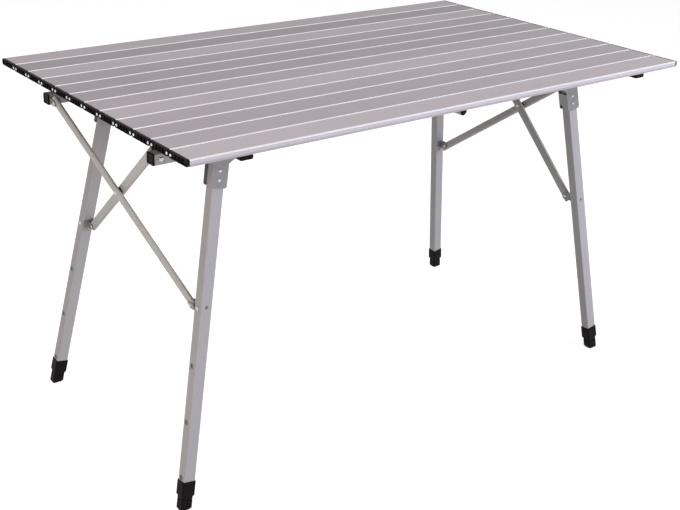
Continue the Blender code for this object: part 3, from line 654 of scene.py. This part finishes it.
def build_slat(number):
    name = f"slat_{number:02d}"
    centre_y = (number - 0.5) * SLAT_PITCH - TABLE_WIDTH / 2
    centre = Vector((0, centre_y, TABLE_HEIGHT))
    joined = []
    if number > 1:
        joined.append(-1)
    if number < SLAT_COUNT:
        joined.append(1)
    free_edge = SLAT_HALF - FREE_EDGE_INSET
    edges = {side: SLAT_HALF if side in joined else free_edge for side in (-1, 1)}
    build_extrusion(number, name, centre, joined, edges)
    spots = [(joint_side * (SLAT_HALF - PIN_INSET), -PIN_DROP) for joint_side in joined]
    for side, side_name in ((-1, "left"), (1, "right")):
        out = frame_at(centre, AXIS_Y, AXIS_Z, AXIS_X * side)
        build_slat_cap(f"{name}_cap_{side_name}", name, out, joined, edges, spots)
        build_slat_pins(f"{name}_pins_{side_name}", name, out, side, spots)


# The cross supports. A position along one is measured from its middle
PAD_WIDTH = 0.012
PAD_LENGTH = 0.120
PAD_ROUND = 0.002
PAD_CENTRE_Y = RAIL_Y + RAIL_DEPTH / 2 - PAD_LENGTH / 2
PAD_BOTTOM = RAIL_Z + RAIL_HEIGHT / 2 + CLEARANCE

ROUND_RADIUS = 0.008
ROUND_BORE = 0.0068
ROUND_END = 0.3315
ROUND_SIDES = 40
ROUND_PAD_TOP = 0.0079
ROUND_PLUG = [(0.0067, 0.318), (0.0067, 0.3312), (0.0075, 0.3316), (0.0060, 0.3320)]

FLAT_X = 0.475
FLAT_HEIGHT = 0.009
FLAT_END = 0.3190
# Width, height and corner radius
FLAT_OUTSIDE = (0.025, FLAT_HEIGHT, 0.0025)
FLAT_BORE = (0.022, 0.006, 0.0012)
FLAT_PLUG = (0.0208, 0.0052, 0.0008)
FLAT_TIP = (0.0236, 0.0078, 0.0022)
FLAT_PLUG_START = 0.305
FLAT_PLUG_END = 0.3194
FLAT_FITTING_START = 0.3196
FLAT_FITTING_END = 0.3440
FLAT_TIP_END = 0.3450


def build_pads(name, x, top):
    bm = bmesh.new()
    for side in (-1, 1):
        outline = rounded(PAD_WIDTH, PAD_LENGTH, PAD_ROUND, (x, side * PAD_CENTRE_Y))
        add_prism(bm, outline, PAD_BOTTOM, top, Matrix())
    plastic_piece(name + "_pads", bm, name, hides=False)


def build_round_support():
    name = "cross_support_middle"
    centre = Vector((0, 0, SUPPORT_TOP - ROUND_RADIUS))
    along = frame_at(centre, AXIS_X, -AXIS_Z, AXIS_Y)
    outer = disc(ROUND_RADIUS, sides=ROUND_SIDES)
    inner = disc(ROUND_BORE, sides=ROUND_SIDES)
    bm = bmesh.new()
    add_tube(bm, outer, inner, -ROUND_END, ROUND_END, along)
    piece(name + "_tube", mesh_from(bm), support_metal, name)
    for side, end_name in ((-1, "front"), (1, "rear")):
        out = frame_at(centre, AXIS_X, -AXIS_Z, AXIS_Y * side)
        bm = bmesh.new()
        add_turned(bm, ROUND_PLUG, out, ROUND_SIDES)
        plastic_piece(f"{name}_plug_{end_name}", bm, name, hides=False)
    build_pads(name, 0, centre.z - ROUND_PAD_TOP)


def build_flat_support(side_x):
    name = "cross_support_left" if side_x < 0 else "cross_support_right"
    centre = Vector((side_x * FLAT_X, 0, SUPPORT_TOP - FLAT_HEIGHT / 2))
    along = frame_at(centre, AXIS_X, -AXIS_Z, AXIS_Y)
    outside = rounded(*FLAT_OUTSIDE)
    bm = bmesh.new()
    add_tube(bm, outside, rounded(*FLAT_BORE), -FLAT_END, FLAT_END, along)
    piece(name + "_tube", mesh_from(bm), support_metal, name)
    plug = rounded(*FLAT_PLUG)
    levels = [
        level(plug, FLAT_PLUG_START),
        level(plug, FLAT_PLUG_END),
        level(outside, FLAT_FITTING_START),
        level(outside, FLAT_FITTING_END),
        level(rounded(*FLAT_TIP), FLAT_TIP_END),
    ]
    for side, end_name in ((-1, "front"), (1, "rear")):
        out = frame_at(centre, AXIS_X, -AXIS_Z * side, AXIS_Y * side)
        bm = bmesh.new()
        add_loft(bm, levels, out)
        plastic_piece(f"{name}_end_{end_name}", bm, name, hides=False)
    build_pads(name, centre.x, SUPPORT_TOP - FLAT_HEIGHT - HOLD_BACK)


# The rails
RAIL_ROUND = 0.0018
RAIL_BORE_ROUND = 0.0007
LEG_PIVOT_HOLE = 0.0033
SWIVEL_HOLE = 0.0028

# Outlines of a rail cap: how much smaller than the rail it is, and its corner radius
RAIL_CAP_PLUG = (0.0034, 0.0007)
RAIL_CAP_FLANGE = (0, RAIL_ROUND)
RAIL_CAP_CROWN = (0.0016, 0.0012)
RAIL_CAP_DISH = (0.006, 0.0012)
# The outlines in order, each with its distance from the rail's end
RAIL_CAP_LEVELS = [
    (RAIL_CAP_PLUG, -0.0035),
    (RAIL_CAP_PLUG, 0),
    (RAIL_CAP_FLANGE, 0),
    (RAIL_CAP_FLANGE, 0.0022),
    (RAIL_CAP_CROWN, 0.0030),
    (RAIL_CAP_DISH, 0.0030),
    (RAIL_CAP_DISH, 0.0024),
]


def rail_outline(smaller, radius):
    return rounded(RAIL_DEPTH - smaller, RAIL_HEIGHT - smaller, radius)


def build_rail(side_y):
    name = "rail_front" if side_y < 0 else "rail_rear"
    centre = Vector((0, side_y * RAIL_Y, RAIL_Z))
    along = frame_at(centre, AXIS_Y, AXIS_Z, AXIS_X)
    bm = bmesh.new()
    outer = rail_outline(0, RAIL_ROUND)
    inner = rail_outline(2 * RAIL_WALL, RAIL_BORE_ROUND)
    add_tube(bm, outer, inner, -RAIL_END_X, RAIL_END_X, along)
    holes = bmesh.new()
    through = frame_at(centre, AXIS_X, AXIS_Z, -AXIS_Y)
    for side_x in (-1, 1):
        for x, radius in ((LEG_PIVOT_X, LEG_PIVOT_HOLE), (SWIVEL_X, SWIVEL_HOLE)):
            add_prism(holes, disc(radius, (side_x * x, 0)), -RAIL_DEPTH, RAIL_DEPTH, through)
    mesh = combined(bm, [("DIFFERENCE", holes)])
    piece(name + "_tube", mesh, rail_metal, name)
    for side_x in (-1, 1):
        cap = "rail_cap_" + corner_name(side_x, side_y)
        end = Vector((side_x * (RAIL_END_X + CLEARANCE), side_y * RAIL_Y, RAIL_Z))
        out = frame_at(end, AXIS_Y, AXIS_Z, AXIS_X * side_x)
        levels = [level(rail_outline(*shape), height) for shape, height in RAIL_CAP_LEVELS]
        bm = bmesh.new()
        add_loft(bm, levels, out)
        plastic_piece(cap + "_moulding", bm, cap)


# The legs and their brackets. A drop is measured down along the leg from its bracket's pin
def leg_axes(side_x, side_y):
    outboard = Vector((side_x * math.cos(LEG_SPLAY_X), 0, math.sin(LEG_SPLAY_X)))
    down = Vector((side_x * math.sin(LEG_SPLAY_X), 0, -math.cos(LEG_SPLAY_X)))
    outward = Vector((0, side_y, 0))
    pivot = Vector((side_x * LEG_PIVOT_X, side_y * RAIL_Y, RAIL_Z))
    start = pivot + outboard * LEG_OFFSET + outward * LEG_SHIFT
    leg_down = down * math.cos(LEG_SPLAY_Y) + outward * math.sin(LEG_SPLAY_Y)
    leg_outward = outward * math.cos(LEG_SPLAY_Y) - down * math.sin(LEG_SPLAY_Y)
    return pivot, start, outboard, leg_outward, leg_down, outward, down


def leg_frame(side_x, side_y):
    _, start, outboard, leg_outward, leg_down, _, _ = leg_axes(side_x, side_y)
    return frame_at(start, outboard, leg_outward, leg_down)


BRACKET_NEAR = LEG_OFFSET - LEG_WIDTH / 2 - BRACKET_MARGIN
BRACKET_FAR = LEG_OFFSET + LEG_WIDTH / 2 + BRACKET_MARGIN
BRACKET_BEND = 0.034
BRACKET_SETTLED = 0.040
BRACKET_LOW = 0.0715
BRACKET_CORNER = 0.005
BRACKET_SHOULDER = 0.006
BRACKET_SHOULDER_DROP = 0.031
BRACKET_ROUND = 0.0004
WEB_DROPS = (0.040, 0.0665)
WEB_ROUND = 0.0003
# Radius, heads' radius and heads' height
PIVOT_RIVET = (0.003, 0.0052, 0.0020)
LEG_RIVET = (0.0018, 0.0034, 0.0015)


def add_ear(bm, side):
    slope = math.tan(LEG_SPLAY_Y)
    rail_side = side * (RAIL_DEPTH / 2 + CLEARANCE)
    leg_side = LEG_SHIFT + side * (LEG_DEPTH / 2 / math.cos(LEG_SPLAY_Y) + CLEARANCE)

    def point(x, z):
        y = rail_side if z <= BRACKET_BEND else leg_side + slope * z
        return bm.verts.new(Vector((x, y, z)))

    eye = arc((0, 0), BRACKET_EYE, 180, 315, 14)
    bend_near = point(BRACKET_NEAR, BRACKET_BEND)
    bend_far = point(BRACKET_FAR, BRACKET_BEND)
    settled_near = point(BRACKET_NEAR, BRACKET_SETTLED)
    settled_far = point(BRACKET_FAR, BRACKET_SETTLED)
    flare = point(-0.5 * BRACKET_EYE, 0.6 * BRACKET_BEND)
    shoulder_centre = (BRACKET_FAR - BRACKET_SHOULDER, BRACKET_SHOULDER_DROP)
    shoulder = [point(x, z) for x, z in arc(shoulder_centre, BRACKET_SHOULDER, 300, 360, 4)]
    upper = [bend_near, flare] + [point(x, z) for x, z in eye] + shoulder + [bend_far]
    far_corner = (BRACKET_FAR - BRACKET_CORNER, BRACKET_LOW)
    near_corner = (BRACKET_NEAR + BRACKET_CORNER, BRACKET_LOW)
    bottom = arc(far_corner, BRACKET_CORNER, 0, 90, 6) + arc(near_corner, BRACKET_CORNER, 90, 180, 6)
    lower = [settled_far] + [point(x, z) for x, z in bottom] + [settled_near]
    faces = [
        bm.faces.new(upper),
        bm.faces.new([bend_far, settled_far, settled_near, bend_near]),
        bm.faces.new(lower),
    ]
    grown = bmesh.ops.extrude_face_region(bm, geom=faces, use_keep_orig=True)["geom"]
    moved = [item for item in grown if isinstance(item, bmesh.types.BMVert)]
    bmesh.ops.translate(bm, verts=moved, vec=Vector((0, side * BRACKET_THICKNESS, 0)))


def build_bracket(side_x, side_y):
    node = "leg_bracket_" + corner_name(side_x, side_y)
    pivot, start, outboard, leg_outward, leg_down, outward, down = leg_axes(side_x, side_y)
    at = frame_at(pivot, outboard, outward, down)
    bm = bmesh.new()
    for side in (-1, 1):
        add_ear(bm, side)
    bmesh.ops.transform(bm, matrix=at, verts=bm.verts)
    reach = LEG_DEPTH / 2 / math.cos(LEG_SPLAY_Y) + CLEARANCE + BRACKET_THICKNESS / 2
    levels = []
    for drop in WEB_DROPS:
        centre = (BRACKET_NEAR + BRACKET_THICKNESS / 2, LEG_SHIFT + math.tan(LEG_SPLAY_Y) * drop)
        levels.append(level(rounded(BRACKET_THICKNESS, 2 * reach, WEB_ROUND, centre, 2), drop))
    web = bmesh.new()
    add_loft(web, levels, at)
    mesh = combined(bm, [("UNION", web)])
    piece(node + "_plates", mesh, zinc_steel, node, round_edge=BRACKET_ROUND)
    rivets = bmesh.new()
    half = RAIL_DEPTH / 2 + CLEARANCE + BRACKET_THICKNESS
    add_rivet(rivets, PIVOT_RIVET, -half, half, frame_at(pivot, outboard, -down, outward))
    half = LEG_DEPTH / 2 + CLEARANCE + BRACKET_THICKNESS
    for number in range(RIVET_COUNT):
        spot = start + leg_down * (RIVET_FIRST + number * RIVET_PITCH)
        add_rivet(rivets, LEG_RIVET, -half, half, frame_at(spot, outboard, -leg_down, leg_outward))
    piece(node + "_rivets", mesh_from(rivets), rivet_steel, node, hides=False)


BUTTON_HOLE = 0.005
BUTTON_INNER_HOLE = 0.0044
RIVET_HOLE = 0.0021
CLIP_HOLE = 0.003
INNER_ROUND = 0.0014
INNER_BORE_ROUND = 0.0006

BUTTON_FLANGE_RADIUS = 0.006
BUTTON_FLANGE_THICKNESS = 0.0012
BUTTON_RADIUS = 0.0041
BUTTON_RISE = 0.0015
BUTTON_HEAD_RADIUS = 0.0040
BUTTON_HEAD_HEIGHT = 0.0013
BUTTON_HEAD_START = 0.0014

# Outlines around a leg: how much wider than the leg it is, and its corner radius
LEG_OUTSIDE = (0, 0.0020)
LEG_BORE = (-2 * LEG_WALL, 0.0008)
COLLAR_OUTSIDE = (2 * CLEARANCE + 0.0024, 0.0028)
COLLAR_SHOULDER = (2 * CLEARANCE + 0.0010, 0.0024)
COLLAR_BORE = (2 * CLEARANCE, 0.0020)
COLLAR_LEDGE_ROUND = 0.0015
COLLAR_BEVEL = 0.0012
FOOT_BLOCK = (-0.0012, 0.0024)
FOOT_WAIST = (-0.0030, 0.0020)
FOOT_TREAD = (-0.0062, 0.0020)
FOOT_PLUG_LENGTH = 0.020
FOOT_PLUG_ROUND = 0.0008
FOOT_BEVEL_HEIGHT = 0.0035
# The foot's rim and groove: outlines with their distance below the collar
FOOT_LEVELS = [
    (FOOT_WAIST, 0),
    (FOOT_BLOCK, 0.0008),
    (FOOT_BLOCK, 0.0060),
    (FOOT_WAIST, 0.0064),
    (FOOT_WAIST, 0.0078),
    (FOOT_BLOCK, 0.0082),
]


def leg_outline(wider, radius):
    return rounded(LEG_WIDTH + wider, LEG_DEPTH + wider, radius)


def inner_leg_outline(wider, radius):
    return rounded(INNER_WIDTH + wider, INNER_DEPTH + wider, radius)


def build_outer_leg(corner, at):
    node = "leg_outer_" + corner
    bm = bmesh.new()
    add_tube(bm, leg_outline(*LEG_OUTSIDE), leg_outline(*LEG_BORE), LEG_TOP, LEG_END, at)
    holes = bmesh.new()
    facing = at @ frame_at(Vector((LEG_WIDTH / 2, 0, 0)), AXIS_Z, AXIS_Y, -AXIS_X)
    for step in range(BUTTON_STEPS):
        spot = (BUTTON_DROP + step * BUTTON_STEP, 0)
        add_prism(holes, disc(BUTTON_HOLE, spot), -LEG_WALL, 2 * LEG_WALL, facing)
    beside = at @ frame_at(ORIGIN, AXIS_X, AXIS_Z, AXIS_Y)
    for number in range(RIVET_COUNT):
        spot = (0, RIVET_FIRST + number * RIVET_PITCH)
        add_prism(holes, disc(RIVET_HOLE, spot), -LEG_DEPTH, LEG_DEPTH, beside)
    clip_hole = disc(CLIP_HOLE, (0, BRACE_FOOT_DROP))
    add_prism(holes, clip_hole, LEG_DEPTH / 4, LEG_DEPTH, beside)
    mesh = combined(bm, [("DIFFERENCE", holes)])
    piece(node + "_tube", mesh, leg_metal, node)


def build_collar(corner, at):
    outside = leg_outline(*COLLAR_OUTSIDE)
    shoulder = leg_outline(*COLLAR_SHOULDER)
    around_leg = leg_outline(*COLLAR_BORE)
    around_inner = inner_leg_outline(2 * CLEARANCE, COLLAR_LEDGE_ROUND)
    ledge = LEG_END + CLEARANCE
    levels = [
        level(shoulder, COLLAR_TOP),
        level(outside, COLLAR_TOP + COLLAR_BEVEL),
        level(outside, COLLAR_END - COLLAR_BEVEL),
        level(shoulder, COLLAR_END),
        level(around_inner, COLLAR_END),
        level(around_inner, ledge),
        level(around_leg, ledge),
        level(around_leg, COLLAR_TOP),
    ]
    bm = bmesh.new()
    add_loft(bm, levels, at, closed=True)
    node = "leg_collar_" + corner
    plastic_piece(node + "_moulding", bm, node)


def build_inner_leg(corner, at):
    node = "leg_inner_" + corner
    outer = inner_leg_outline(0, INNER_ROUND)
    inner = inner_leg_outline(-2 * INNER_WALL, INNER_BORE_ROUND)
    bm = bmesh.new()
    add_tube(bm, outer, inner, LEG_END - INNER_LEG_OVERLAP, COLLAR_END, at)
    holes = bmesh.new()
    spot = Vector((INNER_WIDTH / 2, 0, BUTTON_DROP))
    facing = at @ frame_at(spot, AXIS_Z, AXIS_Y, -AXIS_X)
    add_prism(holes, disc(BUTTON_INNER_HOLE), -INNER_WALL, 2 * INNER_WALL, facing)
    mesh = combined(bm, [("DIFFERENCE", holes)])
    # The inner leg's darker metal is painted shade
    piece(node + "_tube", mesh, inner_leg_shaded_metal, node)


def build_snap_button(corner, at):
    node = "snap_button_" + corner
    seat = INNER_WIDTH / 2 - INNER_WALL - CLEARANCE
    top = LEG_WIDTH / 2 + BUTTON_RISE
    facing = at @ frame_at(Vector((0, 0, BUTTON_DROP)), AXIS_Z, AXIS_Y, AXIS_X)
    profile = [
        (BUTTON_FLANGE_RADIUS, seat - BUTTON_FLANGE_THICKNESS),
        (BUTTON_FLANGE_RADIUS, seat),
        (BUTTON_RADIUS, seat),
        (BUTTON_RADIUS, top - BUTTON_HEAD_START),
    ]
    profile += dome(BUTTON_HEAD_RADIUS, BUTTON_HEAD_HEIGHT, top - BUTTON_HEAD_HEIGHT, 1)
    bm = bmesh.new()
    add_turned(bm, profile, facing)
    piece(node + "_steel", mesh_from(bm), rivet_steel, node)


def build_foot(corner, at):
    plug = inner_leg_outline(-2 * (INNER_WALL + CLEARANCE), FOOT_PLUG_ROUND)
    top = COLLAR_END + CLEARANCE
    slope = at.to_3x3() @ AXIS_Z

    def on_level(outline, height):
        """The outline on the leg's sides where they reach this height above the floor."""
        found = []
        for x, y in outline:
            found.append(Vector((x, y, (height - (at @ Vector((x, y, 0))).z) / slope.z)))
        return found

    levels = [level(plug, COLLAR_END - FOOT_PLUG_LENGTH), level(plug, top)]
    levels += [level(leg_outline(*shape), top + drop) for shape, drop in FOOT_LEVELS]
    levels.append(on_level(leg_outline(*FOOT_BLOCK), FOOT_BEVEL_HEIGHT))
    levels.append(on_level(leg_outline(*FOOT_TREAD), 0.0))
    bm = bmesh.new()
    add_loft(bm, levels, at)
    node = "foot_" + corner
    plastic_piece(node + "_moulding", bm, node)


def build_leg(side_x, side_y):
    corner = corner_name(side_x, side_y)
    at = leg_frame(side_x, side_y)
    build_outer_leg(corner, at)
    build_collar(corner, at)
    build_inner_leg(corner, at)
    build_snap_button(corner, at)
    build_foot(corner, at)


# The braces, with the forks at their top ends and the clips at their feet
FORK_MARGIN = 0.002
FORK_ROUND = 0.0035
FORK_BEVEL = 0.0003
# Radius, heads' radius and heads' height
FORK_RIVET = (0.0019, 0.0034, 0.0012)
SWIVEL_HEAD_RADIUS = 0.0045
SWIVEL_HEAD_HEIGHT = 0.0020
SWIVEL_RADIUS = 0.0024
# The swivel's inner head: radii with their height above the fork's plate
SWIVEL_INNER_HEAD = [(0.0036, 0), (0.0034, 0.0007), (0.0020, 0.0010)]
BRACE_HOLE = 0.0023
CROSSING_RADIUS = 0.0038
CROSSING_HEIGHT = 0.0014
CROSSING_SEAT = 0.0006
SPACER_RADIUS = 0.0070
SPACER_BEVEL = 0.0004


def brace_shift(side_x, side_y):
    return BRACE_SPREAD if side_x * side_y > 0 else -BRACE_SPREAD


def brace_axes(side_x, side_y):
    swivel_y = -side_y * (RAIL_Y - RAIL_DEPTH / 2 - FORK_REACH)
    swivel = Vector((side_x * SWIVEL_X, swivel_y, RAIL_Z))
    reach = LEG_DEPTH / 2 + FORK_REACH - CLEARANCE + CLIP_GAP
    clip = leg_frame(side_x, side_y) @ Vector((0, -reach, BRACE_FOOT_DROP))
    slope = clip - swivel
    slope.y = 0
    across = AXIS_Y.cross(slope).normalized()
    if across.x * side_x < 0:
        across = -across
    shift = across * brace_shift(side_x, side_y)
    upper = swivel + shift
    lower = clip + shift
    return upper, lower, (lower - upper).normalized(), across


def fork_span(shift):
    half = BRACE_THICKNESS / 2 + CLEARANCE + FORK_EAR
    return min(-half, -shift - FORK_EAR_RADIUS), max(half, -shift + FORK_EAR_RADIUS)


def build_fork(node, at, shift, swivel):
    half = BRACE_THICKNESS / 2 + CLEARANCE
    face = CLEARANCE - FORK_REACH
    along_x = at @ frame_at(ORIGIN, AXIS_Y, AXIS_Z, AXIS_X)
    low, high = fork_span(shift)
    centre = ((high + low) / 2, 0)
    height = 2 * FORK_EAR_RADIUS + FORK_MARGIN
    plate = bmesh.new()
    add_prism(plate, rounded(high - low, height, FORK_ROUND, centre, 5), face, face + FORK_PLATE, at)
    ears = bmesh.new()
    base = face + FORK_PLATE / 2
    outline = [(FORK_EAR_RADIUS, base)] + arc((0, 0), FORK_EAR_RADIUS, 0, 180, 16)
    outline.append((-FORK_EAR_RADIUS, base))
    for side in (-1, 1):
        near = side * half
        far = side * (half + FORK_EAR)
        add_prism(ears, outline, min(near, far), max(near, far), along_x)
    mesh = combined(plate, [("UNION", ears)])
    piece(node + "_plates", mesh, zinc_steel, node, round_edge=FORK_BEVEL)
    rivets = bmesh.new()
    outside = half + FORK_EAR
    add_rivet(rivets, FORK_RIVET, -outside, outside, along_x)
    if swivel:
        outer_face = -FORK_REACH - RAIL_DEPTH - CLEARANCE
        plate_face = face + FORK_PLATE
        spot = at.copy()
        spot.translation = at @ Vector((-shift, 0, 0))
        profile = list(reversed(dome(SWIVEL_HEAD_RADIUS, SWIVEL_HEAD_HEIGHT, outer_face, -1)))
        profile += [(SWIVEL_RADIUS, outer_face), (SWIVEL_RADIUS, plate_face)]
        profile += [(radius, plate_face + rise) for radius, rise in SWIVEL_INNER_HEAD]
        add_turned(rivets, profile, spot)
    piece(node + "_rivets", mesh_from(rivets), rivet_steel, node, hides=False)


def build_forks(side_x, side_y):
    corner = corner_name(side_x, side_y)
    upper, _, _, across = brace_axes(side_x, -side_y)
    inward = Vector((0, -side_y, 0))
    at = frame_at(upper, across, inward.cross(across), inward)
    build_fork("rail_fork_" + corner, at, brace_shift(side_x, -side_y), True)
    _, lower, _, across = brace_axes(side_x, side_y)
    inward = -leg_axes(side_x, side_y)[3]
    inward = (inward - across * inward.dot(across)).normalized()
    at = frame_at(lower, across, inward.cross(across), inward)
    build_fork("brace_clip_" + corner, at, brace_shift(side_x, side_y), False)


def build_brace(side_x, side_y):
    node = "brace_" + corner_name(side_x, side_y)
    upper, lower, along, across = brace_axes(side_x, side_y)
    at = frame_at(upper, across, along.cross(across), along)
    length = (lower - upper).length
    bm = bmesh.new()
    outer = stadium(BRACE_THICKNESS, BRACE_WIDTH)
    inner = stadium(BRACE_THICKNESS - 2 * BRACE_WALL, BRACE_WIDTH - 2 * BRACE_WALL)
    add_tube(bm, outer, inner, -BRACE_END, length + BRACE_END, at)
    holes = bmesh.new()
    through = at @ frame_at(ORIGIN, AXIS_Y, AXIS_Z, AXIS_X)
    for drop in (0, length):
        hole = disc(BRACE_HOLE, (0, drop))
        add_prism(holes, hole, -BRACE_THICKNESS, BRACE_THICKNESS, through)
    mesh = combined(bm, [("DIFFERENCE", holes)])
    piece(node + "_tube", mesh, brace_metal, node)
    share = upper.y / (upper.y - lower.y)
    middle = upper + (lower - upper) * share
    away = 1 if brace_shift(side_x, side_y) > 0 else -1
    spot = frame_at(middle, along, along.cross(across), across * away)
    face = BRACE_THICKNESS / 2
    profile = [(CROSSING_RADIUS, face - CROSSING_SEAT)]
    profile += dome(CROSSING_RADIUS, CROSSING_HEIGHT, face, 1)
    head = bmesh.new()
    add_turned(head, profile, spot)
    crossing = mesh_from(head)
    piece(node + "_crossing_rivet", crossing, rivet_steel, node, hides=False)
    if away < 0:
        return
    name = "brace_spacer_left" if side_x < 0 else "brace_spacer_right"
    inner_side = frame_at(middle, along, along.cross(across), -across)
    low = face + CLEARANCE
    high = 2 * BRACE_SPREAD - low
    profile = [
        (SPACER_RADIUS - SPACER_BEVEL, low),
        (SPACER_RADIUS, low + SPACER_BEVEL),
        (SPACER_RADIUS, high - SPACER_BEVEL),
        (SPACER_RADIUS - SPACER_BEVEL, high),
    ]
    bm = bmesh.new()
    add_turned(bm, profile, inner_side)
    plastic_piece(name + "_washer", bm, name)


# Floor and light
FLOOR_RADIUS = 14
FLOOR_COLOUR = (0.35, 0.35, 0.35, 1)
FLOOR_GLOW = 0.90
SURROUNDINGS_LIGHT = 0.10
# Name, place, target, size in metres, power in watts and colour
LAMPS = [
    ("front_lamp", (1.6, -3.0, 1.7), (0.1, 0, 0.4), 2.4, 136, (0.90, 0.92, 1.0)),
    ("left_lamp", (-1.5, -0.5, 0.9), (-0.5, 0, 0.35), 0.9, 8.5, (1.0, 0.93, 0.85)),
    ("top_lamp", (-0.7, 1.2, 3.2), (0, 0, 0.6), 3.0, 62, (1.0, 0.97, 0.98)),
]


def seen_rays(nodes):
    """1 for rays that show the background: the camera's, and those metal reflects or glass passes."""
    path = nodes.add("ShaderNodeLightPath")
    result = path.outputs["Is Camera Ray"]
    for kind in ("Is Glossy Ray", "Is Transmission Ray"):
        larger = nodes.add("ShaderNodeMath", operation="MAXIMUM")
        nodes.join(result, larger.inputs[0])
        nodes.join(path.outputs[kind], larger.inputs[1])
        result = larger.outputs[0]
    return result


def add_floor():
    bm = bmesh.new()
    bmesh.ops.create_circle(bm, cap_ends=True, segments=96, radius=FLOOR_RADIUS)
    mesh = bpy.data.meshes.new("floor")
    bm.to_mesh(mesh)
    bm.free()
    floor = bpy.data.objects.new("floor", mesh)
    bpy.context.scene.collection.objects.link(floor)
    nodes = Nodes("floor")
    nodes.shader.inputs["Base Color"].default_value = FLOOR_COLOUR
    nodes.shader.inputs["Roughness"].default_value = 0.9
    nodes.shader.inputs["Specular IOR Level"].default_value = 0.0
    nodes.shader.inputs["Emission Color"].default_value = (1, 1, 1, 1)
    seen = seen_rays(nodes)
    glow = nodes.add("ShaderNodeMath", operation="MULTIPLY")
    glow.inputs[1].default_value = FLOOR_GLOW
    nodes.join(seen, glow.inputs[0])
    nodes.join(glow.outputs[0], nodes.shader.inputs["Emission Strength"])
    mesh.materials.append(nodes.material)


class WorldNodes(Nodes):
    """Adds nodes to the world's background and joins them."""

    def __init__(self):
        world = bpy.data.worlds.new("world")
        world.use_nodes = True
        bpy.context.scene.world = world
        self.tree = world.node_tree


def add_world():
    nodes = WorldNodes()
    background = nodes.tree.nodes["Background"]
    background.inputs["Color"].default_value = (1, 1, 1, 1)
    seen = seen_rays(nodes)
    strength = nodes.add("ShaderNodeMapRange")
    strength.inputs["To Min"].default_value = SURROUNDINGS_LIGHT
    strength.inputs["To Max"].default_value = 1.0
    nodes.join(seen, strength.inputs["Value"])
    nodes.join(strength.outputs["Result"], background.inputs["Strength"])


def add_lamp(name, place, target, size, power, colour):
    data = bpy.data.lights.new(name, "AREA")
    data.shape = "DISK"
    data.size = size
    data.energy = power
    data.color = colour
    lamp = bpy.data.objects.new(name, data)
    lamp.location = place
    aim = Vector(target) - Vector(place)
    lamp.rotation_euler = aim.to_track_quat("-Z", "Y").to_euler()
    # The metal reflects the white surroundings but not the lamps, whose glare would wash out the slats
    lamp.visible_glossy = False
    bpy.context.scene.collection.objects.link(lamp)


add_camera()
for number in range(1, SLAT_COUNT + 1):
    build_slat(number)
build_round_support()
for side_x in (-1, 1):
    build_flat_support(side_x)
for side_y in (-1, 1):
    build_rail(side_y)
for side_x, side_y in CORNERS:
    build_bracket(side_x, side_y)
    build_leg(side_x, side_y)
    build_forks(side_x, side_y)
    build_brace(side_x, side_y)
add_floor()
add_world()
for lamp in LAMPS:
    add_lamp(*lamp)
bpy.context.scene.view_settings.view_transform = "Standard"
